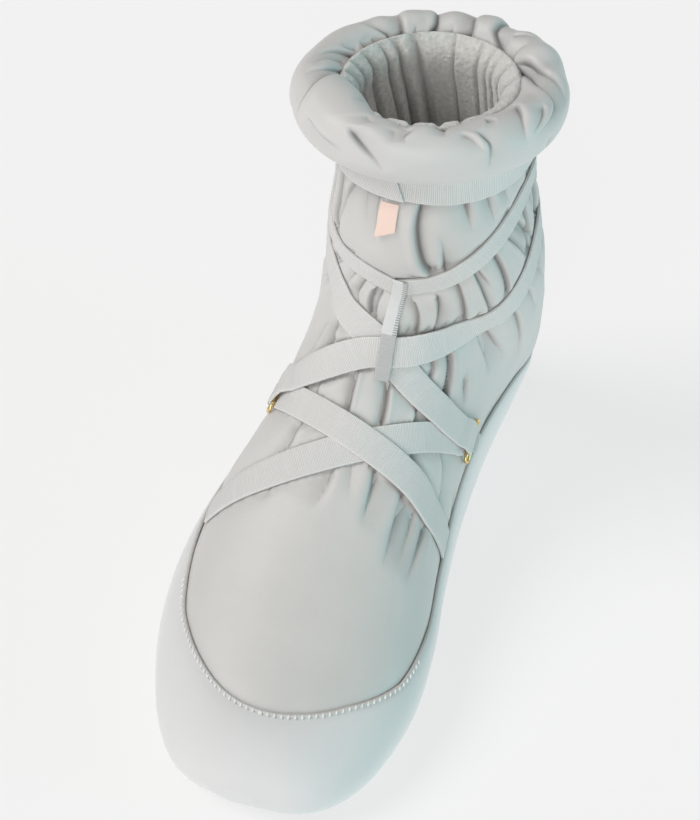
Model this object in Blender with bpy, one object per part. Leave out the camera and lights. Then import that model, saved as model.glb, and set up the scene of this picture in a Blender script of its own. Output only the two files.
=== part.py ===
# Dance warm-up boot for the right foot: padded cloth upper, soft rand, flexible sole,
# gathered collar and elastic straps held by two wire rings.
# Toe towards -Y, medial side towards +X. Sizes are in millimetres until an object is made.
import math

import bmesh
import bpy
import numpy as np
from mathutils import Vector
from mathutils.bvhtree import BVHTree

MILLIMETRE = 0.001
GAP = 0.3

# Sole: a slab whose underside lifts at the toe, the arch and the back of the heel
SOLE_THICKNESS = 5.0
TOE_SPRING = 6.0
TOE_SPRING_FROM = -95.0
TOE_END = -134.0
ARCH_LIFT = 2.2
ARCH_FROM = -22.0
ARCH_TO = 64.0
HEEL_LIFT = 1.5
HEEL_LIFT_FROM = 110.0
HEEL_END = 122.0

# Upper, rand and insole
WALL = 3.0
INSOLE_THICKNESS = 4.0
INSOLE_CLEARANCE = 2.0
UPPER_STEPS = 3
UPPER_SIDES = 38
LINING_STEPS = 2
LINING_SIDES = 26
LINING_START = 0.65
RAND_STATIONS = 32
SOLE_STATIONS = 30
SOLE_EDGE = (
    # inset share_of_thickness
    (0.0, 1.0), (0.0, 0.5), (0.5, 0.18), (1.8, 0.0),
)
SOLE_CLEARANCE = 0.5
END_CROWDING = 0.55
CAP_SPAN = 0.3
BOOT_SHIFT = (7.3, 1.2)

# Collar roll
COLLAR_CENTRE = (-1.0, 69.0, 209.85)
COLLAR_INNER = (33.0, 33.0)
COLLAR_OUTER = (54.5, 49.5)
COLLAR_HALF_HEIGHT = 11.3
COLLAR_FRONT_RISE = 1.5
COLLAR_GATHERS = 14
COLLAR_GATHER_DEPTH = 0.06
COLLAR_STEPS = 4
COLLAR_SKEW = 0.05
COLLAR_SKEW_TURN = 60.0
COLLAR_SECTION = (
    # across rise gathered
    (1.00, 0.05, 1), (0.86, 0.55, 1), (0.48, 0.90, 1), (-0.02, 1.00, 1), (-0.52, 0.86, 1), (-0.90, 0.46, 1),
    (-1.00, -0.10, 1), (-0.86, -0.70, 0.5), (-0.66, -0.95, 0), (0.56, -0.95, 0), (0.88, -0.55, 1),
)

# Straps
STRAP_THICKNESS = 1.2
TAPE_THICKNESS = 0.8
RIBBON_THICKNESS = 0.6
CROSS_WIDTH = 13.0
ANKLE_WIDTH = 8.0
BAND_WIDTH = 10.0
KEEPER_WIDTH = 5.6
RIBBON_WIDTH = 7.2
TAB_WIDTH = 9.0
STRAP_STEP = 6.5
WIDE_LANES = (-1, 0, 1)
NARROW_LANES = (-1, 1)
END_CLEARANCE = 0.7

# Rings: two straight bars joined by half circles
WIRE = 1.5
BAR_LENGTH = 14.6
BAR_SPACING = 4.2
WRAP_GAP = 0.15
RING_SIDES = 1
RING_BEND_STEPS = 8
FOLD_REACH = 9.0
FOLD_STEPS = 8
JOIN_STEPS = 3

# The last, a row for each section from toe tip to shaft top.
# y_top z_top and y_bottom z_bottom are the section's ends in side view, lateral and medial its
# side limits, belly the height of its widest level, and the powers round it above and below.
LAST = np.array((
    # y_top z_top y_bottom z_bottom lateral medial belly top_power bottom_power
    (-136, 21, -136, 13, -15, 3.0, 0.50, 2.0, 2.2),
    (-132.5, 28, -132.5, 8, -28, 21, 0.46, 2.0, 2.4),
    (-123.5, 35, -123.5, 4, -38.5, 32.5, 0.44, 2.0, 2.6),
    (-107, 42, -107, 1, -49, 41, 0.42, 2.1, 2.8),
    (-79, 53, -79, 0, -59.5, 46.5, 0.38, 2.2, 3.0),
    (-48, 67, -48, 0, -64, 45, 0.32, 2.2, 3.0),
    (-18, 85, -16, 0, -61, 40, 0.28, 2.2, 3.0),
    (8, 106, 24, 0, -51.5, 36.5, 0.30, 2.2, 3.0),
    (22, 124, 72, 0, -46.5, 37, 0.36, 2.2, 2.8),
    (27, 138, 119, 4, -44.5, 41.5, 0.40, 2.2, 2.5),
    (27, 146, 133, 30, -43, 47.5, 0.46, 2.2, 2.3),
    (26, 153, 130, 80, -41, 49, 0.48, 2.1, 2.1),
    (25, 164, 122, 130, -38.5, 46, 0.50, 2.1, 2.1),
    (26, 181.5, 118, 174, -35, 40.5, 0.50, 2.1, 2.1),
    (31, 200, 114, 197, -38, 41, 0.50, 2.1, 2.1),
))
LAST_ROW = len(LAST) - 1

# Height of the rand's stitched edge along the foot
SEAM = np.array((
    # y lateral medial
    (-135, 39, 39),
    (-110, 39, 39),
    (-100, 39.5, 38.3),
    (-79, 40.3, 34),
    (-48, 44.5, 32),
    (-10, 48.5, 36),
    (18, 51.5, 45),
    (45, 53, 52),
    (90, 53, 53),
    (135, 52, 52),
))

# The rand's cross-section: height between sole and seam, and distance from the upper
RAND = (
    # height distance
    (0.00, 0.60), (0.06, 0.70), (0.12, 0.75), (0.19, 0.75), (0.27, 0.85), (0.37, 0.95), (0.50, 0.95),
    (0.64, 0.80), (0.77, 0.50), (0.89, 0.50), (1.00, 0.50), (1.00, 1.60), (0.94, 2.60), (0.78, 3.00),
    (0.55, 3.00), (0.30, 3.00), (0.10, 3.00), (0.00, 2.80),
)

# Strap routes over the last: row position, then angle from medial over the front to lateral
ROUTE_SEAM_TO_LATERAL_RING = ((6.35, -2), (6.22, 30), (6.25, 54), (6.36, 82), (6.57, 106))
ROUTE_ROUND_ANKLE = (
    (7.17, 114), (7.5, 92), (7.9, 70), (8.9, 50), (10.4, 34), (11.5, 14), (12.05, -6), (12.3, -45),
    (12.3, -90), (12.2, -135), (11.9, -172), (11.4, -200), (10.6, -222), (8.7, -246), (7.75, -274),
    (7.35, -298), (7.35, -322),
)
ROUTE_MEDIAL_RING_TO_SEAM = ((6.9, 46), (6.43, 70), (6.12, 88), (5.8, 108), (5.57, 136), (5.48, 152))
ROUTE_ANKLE_STRAP = (
    (10.1, 90), (11.2, 72), (12.0, 53), (12.6, 27), (12.95, 2), (13.05, -45), (13.05, -90),
    (13.0, -135), (12.7, -175), (12.1, -204), (11.4, -230), (10.8, -252),
)
ROUTE_TOP_BAND = tuple((13.7, angle) for angle in range(96, -281, -16))
ROUTE_KEEPER = ((10.9, 90), (10.1, 89), (9.0, 86), (8.2, 84), (7.7, 82), (7.15, 80))
ROUTE_RIBBON = ((13.36, 95.5), (12.95, 96), (12.55, 97))
LATERAL_RING_SPOT = (7.06, 140)
MEDIAL_RING_SPOT = (7.55, 17)

# How high each run lies: distance along it, then the number of straps under it
LAYERS_TO_LATERAL_RING = ((0, 0), (34, 0), (47, 1), (82, 1), (95, 0))
LAYERS_ROUND_ANKLE = ((0, 1.6), (12, 1), (74, 1), (88, 0))
LAYERS_TO_MEDIAL_RING = ((0, 1.6), (12, 1), (34, 1), (48, 0))
LAYERS_FLAT = ((0, 0),)
LAYERS_KEEPER = ((0, 1), (10, 1), (18, 1.2), (26, 2), (44, 2))
BAND_LAP = 26.0
BAND_LAP_RAMP = 16.0


def clear_scene():
    for old in list(bpy.data.objects):
        bpy.data.objects.remove(old, do_unlink=True)


def make_material(name, colour, roughness, metallic=0.0):
    material = bpy.data.materials.new(name)
    material.use_nodes = True
    shader = material.node_tree.nodes["Principled BSDF"]
    shader.inputs["Base Color"].default_value = (*colour, 1.0)
    shader.inputs["Roughness"].default_value = roughness
    shader.inputs["Metallic"].default_value = metallic
    return material


def make_object(name, points, faces, material, parent):
    """An object of these points, in millimetres, with doubled points joined and normals outward."""
    mesh = bpy.data.meshes.new(name)
    mesh.from_pydata([Vector(point) * MILLIMETRE for point in points], [], faces)
    work = bmesh.new()
    work.from_mesh(mesh)
    bmesh.ops.remove_doubles(work, verts=work.verts, dist=0.02 * MILLIMETRE)
    bmesh.ops.recalc_face_normals(work, faces=work.faces)
    for face in work.faces:
        face.smooth = True
    work.to_mesh(mesh)
    work.free()
    mesh.materials.append(material)
    piece = bpy.data.objects.new(name, mesh)
    piece.parent = parent
    bpy.context.scene.collection.objects.link(piece)
    return piece


def grid_faces(rows, columns, rows_close, columns_close):
    faces = []
    for row in range(rows if rows_close else rows - 1):
        for column in range(columns if columns_close else columns - 1):
            next_row = (row + 1) % rows
            next_column = (column + 1) % columns
            faces.append((
                row * columns + column,
                row * columns + next_column,
                next_row * columns + next_column,
                next_row * columns + column,
            ))
    return faces


def through(rows, position):
    """A row between the given ones, on a Catmull-Rom curve through them."""
    first = int(np.clip(math.floor(position), 0, len(rows) - 2))
    part = position - first
    here, there = rows[first], rows[first + 1]
    before = rows[first - 1] if first > 0 else 2 * here - there
    after = rows[first + 2] if first + 2 < len(rows) else 2 * there - here
    return 0.5 * (
        2 * here
        + (there - before) * part
        + (2 * before - 5 * here + 4 * there - after) * part**2
        + (3 * here - before - 3 * there + after) * part**3
    )


def last_point(position, angle):
    """Where the last is, at a row position and an angle in degrees round that section."""
    y_top, z_top, y_bottom, z_bottom, lateral, medial, belly, top, bottom = through(LAST, position)
    across = math.cos(math.radians(angle))
    up = math.sin(math.radians(angle))
    power = 2 / (top if up > 0 else bottom)
    reach = (1 - belly if up > 0 else belly) * math.copysign(abs(up) ** power, up)
    side = math.copysign(abs(across) ** power, across)
    return np.array((
        (lateral + medial) / 2 + side * (medial - lateral) / 2,
        y_bottom + (y_top - y_bottom) * (belly + reach),
        z_bottom + (z_top - z_bottom) * (belly + reach),
    ))


def last_normal(position, angle, step=0.02, turn=0.6):
    ahead = last_point(min(position + step, LAST_ROW), angle)
    behind = last_point(max(position - step, 0), angle)
    round_it = last_point(position, angle + turn) - last_point(position, angle - turn)
    normal = np.cross(ahead - behind, round_it)
    return normal / np.linalg.norm(normal)


def off_last(position, angle, distance):
    return last_point(position, angle) + last_normal(position, angle) * distance


def changeover(low, high, reached):
    """The value between low and high where reached turns true."""
    for _ in range(30):
        middle = (low + high) / 2
        if reached(middle):
            high = middle
        else:
            low = middle
    return (low + high) / 2


def sole_bottom(y):
    toe = np.clip((TOE_SPRING_FROM - y) / (TOE_SPRING_FROM - TOE_END), 0, 1.1)
    arch = np.clip((y - ARCH_FROM) / (ARCH_TO - ARCH_FROM), 0, 1)
    heel = np.clip((y - HEEL_LIFT_FROM) / (HEEL_END - HEEL_LIFT_FROM), 0, 1.3)
    return TOE_SPRING * toe**2 + ARCH_LIFT * math.sin(math.pi * arch) ** 2 + HEEL_LIFT * heel**2


def cut_level(y):
    """Height at which the upper stops, just above the sole."""
    return sole_bottom(y) + SOLE_THICKNESS + GAP


def seam_level(y, side):
    return float(np.interp(y, SEAM[:, 0], SEAM[:, 1 if side == "lateral" else 2]))


def angle_on_level(position, side, level, distance=0.0):
    """Angle at which a section, moved out by a distance, meets a level on one side."""

    def reached(angle):
        turned = angle if side == "medial" else 180 - angle
        spot = off_last(position, turned, distance)
        return spot[2] > level(spot[1], side)

    angle = changeover(-89.9, 89.9, reached)
    return angle if side == "medial" else 180 - angle


def level_ends(level, distance=0.0):
    """Row positions where a level meets the toe and the back of the heel."""

    def above(position, angle):
        spot = off_last(position, angle, distance)
        return spot[2] > level(spot[1], "medial")

    if above(0, -90):
        toe = changeover(0, 4, lambda position: not above(position, -90))
    elif not above(0, 90):
        toe = changeover(0, 5, lambda position: above(position, 90))
    else:
        toe = -CAP_SPAN
    heel = changeover(8, 12, lambda position: above(position, -90))
    return toe, heel


def crowded(stations):
    """Shares from 0 to 1, closer together at both ends."""
    even = np.linspace(0, 1, stations + 1)
    return even - END_CROWDING * np.sin(2 * math.pi * even) / (2 * math.pi)


def level_sides(level, stations, solve_at=0.0, distance=0.0):
    """Lateral and medial points along a level from the toe's middle to the heel's."""
    toe, heel = level_ends(level, solve_at)
    sides = {}
    for side in ("lateral", "medial"):

        def spot(position):
            row = max(position, 0)
            edge = off_last(row, angle_on_level(row, side, level, solve_at), distance)
            middle = ((LAST[0][4] + LAST[0][5]) / 2, LAST[0][0] - distance, edge[2])
            return edge + (np.array(middle) - edge) * max(-position, 0) / CAP_SPAN

        positions = toe + (heel - toe) * (1 - np.cos(math.pi * np.linspace(0, 1, stations + 1))) / 2
        rough = [spot(position) for position in positions]
        lengths = np.concatenate(((0,), np.cumsum([math.dist(a, b) for a, b in zip(rough, rough[1:])])))
        wanted = np.interp(lengths[-1] * crowded(stations), lengths, positions)
        sides[side] = [spot(position) for position in wanted]
    return sides["lateral"], sides["medial"]


def make_upper(parent):
    """The last's surface and its inside, cut off above the sole and joined at both rims."""
    work = bmesh.new()
    layers = (
        (0.0, UPPER_STEPS, UPPER_SIDES, 0.0),
        (-WALL, LINING_STEPS, LINING_SIDES, LINING_START),
    )
    for distance, steps, sides, start in layers:
        loops = []
        positions = [start] + [
            step / steps for step in range(math.floor(start * steps) + 1, LAST_ROW * steps + 1)
        ]
        for position in positions:
            turns = [360 * side / sides for side in range(sides)]
            loop = [work.verts.new(off_last(position, turn, distance)) for turn in turns]
            loops.append(loop)
        work.faces.new(loops[0])
        for lower, upper in zip(loops, loops[1:]):
            for side in range(sides):
                after = (side + 1) % sides
                work.faces.new((lower[side], lower[after], upper[after], upper[side]))
    for vertex in work.verts:
        vertex.co.z -= cut_level(vertex.co.y)
    everything = work.verts[:] + work.edges[:] + work.faces[:]
    bmesh.ops.bisect_plane(
        work, geom=everything, plane_co=(0, 0, 0), plane_no=(0, 0, 1), clear_inner=True, dist=0.02
    )
    for vertex in work.verts:
        vertex.co.z += cut_level(vertex.co.y)
    bmesh.ops.remove_doubles(work, verts=work.verts, dist=0.1)
    halfway = LAST[-1][1] / 2
    for keep_high in (True, False):
        open_edges = [edge for edge in work.edges if edge.is_boundary]
        rim = [edge for edge in open_edges if (edge.verts[0].co.z > halfway) == keep_high]
        bmesh.ops.bridge_loops(work, edges=rim)
    bmesh.ops.recalc_face_normals(work, faces=work.faces)
    for vertex in work.verts:
        vertex.co *= MILLIMETRE
    for face in work.faces:
        face.smooth = True
    mesh = bpy.data.meshes.new("upper")
    work.to_mesh(mesh)
    work.free()
    mesh.materials.append(make_material("quilted cloth", (0.60, 0.59, 0.57), 0.55))
    piece = bpy.data.objects.new("upper", mesh)
    piece.parent = parent
    bpy.context.scene.collection.objects.link(piece)


def make_rand(parent):
    """A band between two forms outside the upper, from the sole up to its stitched edge."""
    rings = []
    for height, distance in RAND:

        def level(y, side, share=height):
            return (1 - share) * cut_level(y) + share * seam_level(y, side)

        lateral, medial = level_sides(level, RAND_STATIONS, distance=distance)
        rings.append(lateral + medial[-2:0:-1])
    columns = len(rings[0])
    faces = grid_faces(len(rings), columns, True, True)
    cloth = make_material("rand cloth", (0.68, 0.69, 0.68), 0.6)
    make_object("mudguard", [point for ring in rings for point in ring], faces, cloth, parent)


def inset(outline, distance):
    """A closed outline moved inwards in plan."""
    plan = np.array(outline)[:, :2]
    along = np.roll(plan, -1, axis=0) - np.roll(plan, 1, axis=0)
    along /= np.linalg.norm(along, axis=1, keepdims=True)
    inward = np.stack((along[:, 1], -along[:, 0]), axis=1)
    middle = plan.mean(axis=0)
    if ((middle - plan) * inward).sum() < 0:
        inward = -inward
    return plan + inward * distance


def make_slab(name, rings, colour, roughness, parent):
    """A slab with the last's outline. Rings give their level, distance off the last, inset, height."""
    points = []
    for level, distance, inward, height in rings:
        lateral, medial = level_sides(level, SOLE_STATIONS, distance, distance)
        outline = lateral + medial[-2:0:-1]
        points += [(x, y, height(y)) for x, y in inset(outline, inward)]
    count = 2 * SOLE_STATIONS
    faces = grid_faces(len(rings), count, False, True)
    for start in (0, count * (len(rings) - 1)):
        for station in range(SOLE_STATIONS):
            corners = (station, station + 1, (count - station - 1) % count, (count - station) % count)
            faces.append([start + corner for corner in dict.fromkeys(corners)])
    make_object(name, points, faces, make_material(name, colour, roughness), parent)


def above_cut(rise):
    return lambda y, side="medial": cut_level(y) + rise


def make_sole(parent):
    rings = []
    for inward, share in SOLE_EDGE:
        height = lambda y, share=share: sole_bottom(y) + share * SOLE_THICKNESS
        rings.append((above_cut(0), -SOLE_CLEARANCE, inward, height))
    make_slab("outsole", rings, (0.48, 0.49, 0.48), 0.85, parent)


def make_insole(parent):
    rings = []
    for rise in (0.0, 0.5 * INSOLE_THICKNESS, INSOLE_THICKNESS):
        rings.append((above_cut(rise), -WALL - INSOLE_CLEARANCE, 0.0, above_cut(rise)))
    make_slab("insole", rings, (0.50, 0.50, 0.48), 0.95, parent)


def make_collar(parent):
    """A filled roll round the opening, gathered into puffs, flat where it rests on the upper's rim."""
    centre = np.array(COLLAR_CENTRE)
    inner, outer = np.array(COLLAR_INNER), np.array(COLLAR_OUTER)
    steps = COLLAR_GATHERS * COLLAR_STEPS
    points = []
    for step in range(steps):
        turn = 2 * math.pi * step / steps
        trough = COLLAR_GATHER_DEPTH * (1 - math.cos(COLLAR_GATHERS * turn))
        skew = 1 + COLLAR_SKEW * math.cos(2 * (turn - math.radians(COLLAR_SKEW_TURN)))
        for across, rise, gathered in COLLAR_SECTION:
            puff = 1 - trough * gathered
            reach = skew * ((inner + outer) / 2 + (outer - inner) / 2 * puff * across)
            height = COLLAR_HALF_HEIGHT * puff * rise - COLLAR_FRONT_RISE * math.sin(turn)
            points.append(centre + (reach[0] * math.cos(turn), reach[1] * math.sin(turn), height))
    faces = grid_faces(steps, len(COLLAR_SECTION), True, True)
    make_object("collar", points, faces, make_material("collar cloth", (0.61, 0.60, 0.58), 0.5), parent)


class Surface:
    """The last as a fine mesh, for laying straps on it."""

    def __init__(self):
        sides = 120
        positions = [step / 10 for step in range(LAST_ROW * 10 + 1)]
        points = [last_point(position, 360 * side / sides) for position in positions for side in range(sides)]
        faces = [face[::-1] for face in grid_faces(len(positions), sides, False, True)]
        self.tree = BVHTree.FromPolygons([Vector(point) for point in points], faces)

    def nearest(self, spot):
        place, normal, _, _ = self.tree.find_nearest(Vector(spot))
        outward = last_outward(place)
        return place, normal if normal.dot(outward) > 0 else -normal

    def lay(self, spot, height):
        place, normal = self.nearest(spot)
        return place + normal * height

    def between(self, first, second, steps):
        """Rows laid between two rows, with heights that go from one to the other."""
        rows = []
        for share in np.linspace(0, 1, steps + 1)[1:-1]:
            row = []
            for start, end in zip(first, second):
                heights = [Vector(spot) - self.nearest(spot)[0] for spot in (start, end)]
                height = heights[0].length * (1 - share) + heights[1].length * share
                row.append(self.lay(Vector(start).lerp(Vector(end), share), height))
            rows.append(row)
        return rows


def last_outward(place):
    """Roughly away from the middle of the boot, to tell a face's outside."""
    core_y = float(np.interp(place.z, (20, 90, 200), (place.y, 60, 70)))
    core_z = float(np.interp(place.y, (-132, 20, 60), (18, 40, place.z)))
    return Vector((place.x + 5, place.y - core_y, place.z - core_z))


def layer_height(layers, thickness):
    """Height of a strap's middle above the last when this many straps lie under it."""
    return GAP + thickness / 2 + layers * (STRAP_THICKNESS + GAP)


def smooth_path(spots, step):
    """Points about one step apart on a curve through the spots."""
    spots = [np.array(spot) for spot in spots]
    fine = [through(spots, index / 12) for index in range(12 * (len(spots) - 1) + 1)]
    lengths = np.concatenate(((0,), np.cumsum([math.dist(a, b) for a, b in zip(fine, fine[1:])])))
    count = max(2, round(lengths[-1] / step))
    wanted = np.linspace(0, lengths[-1], count + 1)
    fine = np.array(fine)
    return np.stack([np.interp(wanted, lengths, fine[:, axis]) for axis in range(3)], axis=1), wanted


def strap_rows(surface, spots, width, thickness, layers, lanes=NARROW_LANES, turned_over=False):
    """Rows of points across a strap that lies on the last along a route."""
    path, distances = smooth_path(spots, STRAP_STEP)
    layers = np.array(layers, float)
    rows = []
    for index, centre in enumerate(path):
        along = Vector(path[min(index + 1, len(path) - 1)] - path[max(index - 1, 0)])
        place, normal = surface.nearest(centre)
        across = normal.cross(along).normalized() * (-1 if turned_over else 1)
        height = layer_height(np.interp(distances[index], layers[:, 0], layers[:, 1]), thickness)
        rows.append([surface.lay(place + across * width / 2 * lane, height) for lane in lanes])
    return rows, distances


def trimmed(rows):
    """The rows with each lane stopped above the rand's edge at the far end."""
    lanes = [[np.array(row[lane]) for row in rows] for lane in range(3)]
    cut = []
    for lane in lanes:
        clear = [p[2] - seam_level(p[1], "medial" if p[0] > 0 else "lateral") - END_CLEARANCE for p in lane]
        end = max(index for index, margin in enumerate(clear) if margin > 0)
        kept = lane[: end + 1]
        if end + 1 < len(lane):
            share = clear[end] / (clear[end] - clear[end + 1])
            kept.append(lane[end] + (lane[end + 1] - lane[end]) * share)
        cut.append(smooth_path(kept, math.dist(kept[0], kept[-1]) / len(rows))[0])
    count = min(len(lane) for lane in cut)
    cut = [[lane[round(i * (len(lane) - 1) / (count - 1))] for i in range(count)] for lane in cut]
    return [list(row) for row in zip(*cut)]


def make_strap(name, rows, thickness, closed, material, parent):
    """A strap as the sheet through its middle, with a Solidify modifier for its thickness."""
    points = [point for row in rows for point in row]
    strap = make_object(name, points, grid_faces(len(rows), len(rows[0]), closed, False), material, parent)
    solid = strap.modifiers.new("thickness", "SOLIDIFY")
    solid.thickness = thickness * MILLIMETRE
    solid.offset = 0


class Ring:
    """A wire ring lying on the last, with the fold that a strap makes round one of its bars."""

    def __init__(self, surface, spot, low_spot, high_spot):
        self.surface = surface
        self.place, self.normal = surface.nearest(last_point(*spot))
        low = (Vector(last_point(*low_spot)) - self.place).normalized()
        high = (Vector(last_point(*high_spot)) - self.place).normalized()
        away = -(low + high)
        self.away = (away - self.normal * away.dot(self.normal)).normalized()
        self.bar = self.normal.cross(self.away)
        self.lean = math.asin((high - low).dot(self.bar) / 2)
        self.height = GAP + STRAP_THICKNESS + WRAP_GAP + WIRE / 2

    def spot(self, along, out, up):
        return self.place + self.bar * along + self.away * out + self.normal * up

    def cleared(self):
        """How far along a strap its fold reaches."""
        return FOLD_REACH / math.cos(self.lean) + CROSS_WIDTH / 2 * abs(math.tan(self.lean)) + 2.0

    def landing(self, wrap_radius, upper):
        shift = math.tan(self.lean) * math.pi * wrap_radius / 2
        return self.spot(shift if upper else -shift, 0, 0)

    def fold(self, width, thickness, bar_out=0.0, facing=1, lean=0.0, reach=FOLD_REACH, settle=0.0):
        """Rows of a strap that comes in underneath, turns round a bar and leaves on top."""
        radius = WIRE / 2 + WRAP_GAP + thickness / 2
        wrap = math.pi * radius
        turns = (-reach, -reach / 2, *np.linspace(0, wrap, FOLD_STEPS + 1), wrap + reach / 2, wrap + reach)
        rows = []
        for turn in turns:
            row = []
            for lane in WIDE_LANES:
                along = (turn - wrap / 2) * math.tan(lean) + lane * width / 2 / math.cos(lean)
                row.append(self.folded(along, turn, radius, wrap, bar_out, facing, reach, settle))
            rows.append(row)
        return rows

    def folded(self, along, turn, radius, wrap, bar_out, facing, reach, settle):
        """One point of a folded strap, from its place on the strap laid out flat."""
        if 0 <= turn <= wrap:
            out = bar_out + facing * radius * math.sin(turn / radius)
            return self.spot(along * facing, out, self.height - radius * math.cos(turn / radius))
        past = -turn if turn < 0 else turn - wrap
        level = self.height - radius if turn < 0 else self.height + radius
        flat = self.spot(along * facing, bar_out - facing * past, level)
        share = min(past / reach, 1.0)
        share = share * share * (3 - 2 * share)
        return flat.lerp(self.surface.lay(flat, level - settle * share), share)

    def make(self, name, material, parent):
        outline = []
        half = BAR_SPACING / 2
        for end in (1, -1):
            for turn in np.linspace(0, math.pi, RING_BEND_STEPS + 1):
                along = end * (BAR_LENGTH / 2 + half * math.sin(turn))
                outline.append((along, half - end * half * math.cos(turn)))
        curve = bpy.data.curves.new(name, "CURVE")
        curve.dimensions = "3D"
        curve.bevel_depth = WIRE / 2 * MILLIMETRE
        curve.bevel_resolution = RING_SIDES
        line = curve.splines.new("POLY")
        line.points.add(len(outline) - 1)
        for point, (along, out) in zip(line.points, outline):
            point.co = (*(self.spot(along, out, self.height) * MILLIMETRE), 1)
        line.use_cyclic_u = True
        curve.materials.append(material)
        piece = bpy.data.objects.new(name, curve)
        piece.parent = parent
        bpy.context.scene.collection.objects.link(piece)


def make_straps(parent):
    surface = Surface()
    elastic = make_material("strap elastic", (0.66, 0.67, 0.66), 0.7)
    tape = make_material("keeper tape", (0.52, 0.53, 0.52), 0.75)
    satin = make_material("ribbon satin", (0.84, 0.70, 0.63), 0.35)
    gold = make_material("gold wire", (0.83, 0.62, 0.28), 0.25, 1.0)

    def on_last(route):
        return [last_point(*spot) for spot in route]

    lateral_ring = Ring(surface, LATERAL_RING_SPOT, ROUTE_SEAM_TO_LATERAL_RING[-1], ROUTE_ROUND_ANKLE[0])
    medial_ring = Ring(surface, MEDIAL_RING_SPOT, ROUTE_MEDIAL_RING_TO_SEAM[0], ROUTE_ROUND_ANKLE[-1])
    lateral_ring.make("ring_lateral", gold, parent)
    medial_ring.make("ring_medial", gold, parent)

    radius = WIRE / 2 + WRAP_GAP + STRAP_THICKNESS / 2

    # From the medial seam to the lateral ring, laid out from the ring so that its far end is trimmed
    spots = [lateral_ring.landing(radius, False), *on_last(ROUTE_SEAM_TO_LATERAL_RING[::-1])]
    rows, distances = strap_rows(
        surface, spots, CROSS_WIDTH, STRAP_THICKNESS, LAYERS_TO_LATERAL_RING, WIDE_LANES, True
    )
    first_run = trimmed([row for row, far in zip(rows, distances) if far > lateral_ring.cleared()])[::-1]

    # Round the ankle, from the lateral ring to the medial one
    landings = [ring.landing(radius, True) for ring in (lateral_ring, medial_ring)]
    spots = [landings[0], *on_last(ROUTE_ROUND_ANKLE), landings[1]]
    total = smooth_path(spots, STRAP_STEP)[1][-1]
    layers = LAYERS_ROUND_ANKLE + tuple((total - far, high) for far, high in LAYERS_TO_MEDIAL_RING[::-1])
    rows, distances = strap_rows(surface, spots, CROSS_WIDTH, STRAP_THICKNESS, layers, WIDE_LANES, True)
    second_end = total - medial_ring.cleared()
    second_run = [row for row, far in zip(rows, distances) if lateral_ring.cleared() < far < second_end]

    # From the medial ring to the lateral seam
    spots = [medial_ring.landing(radius, False), *on_last(ROUTE_MEDIAL_RING_TO_SEAM)]
    rows, distances = strap_rows(surface, spots, CROSS_WIDTH, STRAP_THICKNESS, LAYERS_FLAT, WIDE_LANES)
    third_run = trimmed([row for row, far in zip(rows, distances) if far > medial_ring.cleared()])

    lateral_fold = lateral_ring.fold(CROSS_WIDTH, STRAP_THICKNESS, lean=lateral_ring.lean)
    medial_fold = medial_ring.fold(CROSS_WIDTH, STRAP_THICKNESS, lean=medial_ring.lean)
    medial_fold = [row[::-1] for row in medial_fold[::-1]]
    stretches = (first_run, lateral_fold, second_run, medial_fold, third_run)
    rows = list(first_run)
    for stretch in stretches[1:]:
        rows += surface.between(rows[-1], stretch[0], JOIN_STEPS) + stretch
    make_strap("cross_strap", rows, STRAP_THICKNESS, False, elastic, parent)

    for name, ring in (("tab_lateral", lateral_ring), ("tab_medial", medial_ring)):
        rows = ring.fold(TAB_WIDTH, TAPE_THICKNESS, BAR_SPACING, -1, reach=5.0, settle=0.4)
        make_strap(name, rows, TAPE_THICKNESS, False, make_material(name, (0.62, 0.63, 0.62), 0.75), parent)

    closed_route = on_last(ROUTE_ANKLE_STRAP + ROUTE_ANKLE_STRAP[:1])
    rows, _ = strap_rows(surface, closed_route, ANKLE_WIDTH, STRAP_THICKNESS, LAYERS_FLAT)
    ankle_elastic = make_material("ankle elastic", (0.70, 0.71, 0.70), 0.7)
    make_strap("ankle_strap", rows[:-1], STRAP_THICKNESS, True, ankle_elastic, parent)

    spots = on_last(ROUTE_TOP_BAND)
    total = smooth_path(spots, STRAP_STEP)[1][-1]
    layers = ((0, 0), (total - BAND_LAP - BAND_LAP_RAMP, 0), (total - BAND_LAP, 1))
    rows, _ = strap_rows(surface, spots, BAND_WIDTH, STRAP_THICKNESS, layers)
    band_elastic = make_material("band elastic", (0.66, 0.67, 0.66), 0.7)
    make_strap("top_band", rows, STRAP_THICKNESS, False, band_elastic, parent)

    rows, _ = strap_rows(surface, on_last(ROUTE_KEEPER), KEEPER_WIDTH, TAPE_THICKNESS, LAYERS_KEEPER)
    make_strap("keeper", rows, TAPE_THICKNESS, False, tape, parent)

    rows, _ = strap_rows(surface, on_last(ROUTE_RIBBON), RIBBON_WIDTH, RIBBON_THICKNESS, LAYERS_FLAT)
    make_strap("ribbon_tail", rows, RIBBON_THICKNESS, False, satin, parent)


def main():
    clear_scene()
    boot = bpy.data.objects.new("boot", None)
    boot.location = [shift * MILLIMETRE for shift in (*BOOT_SHIFT, 0)]
    bpy.context.scene.collection.objects.link(boot)
    make_sole(boot)
    make_insole(boot)
    make_upper(boot)
    make_rand(boot)
    make_collar(boot)
    make_straps(boot)


main()
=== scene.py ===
import math
import random

import bmesh
import bpy
import numpy as np
from mathutils import Matrix, Vector, noise
from mathutils.bvhtree import BVHTree


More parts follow.
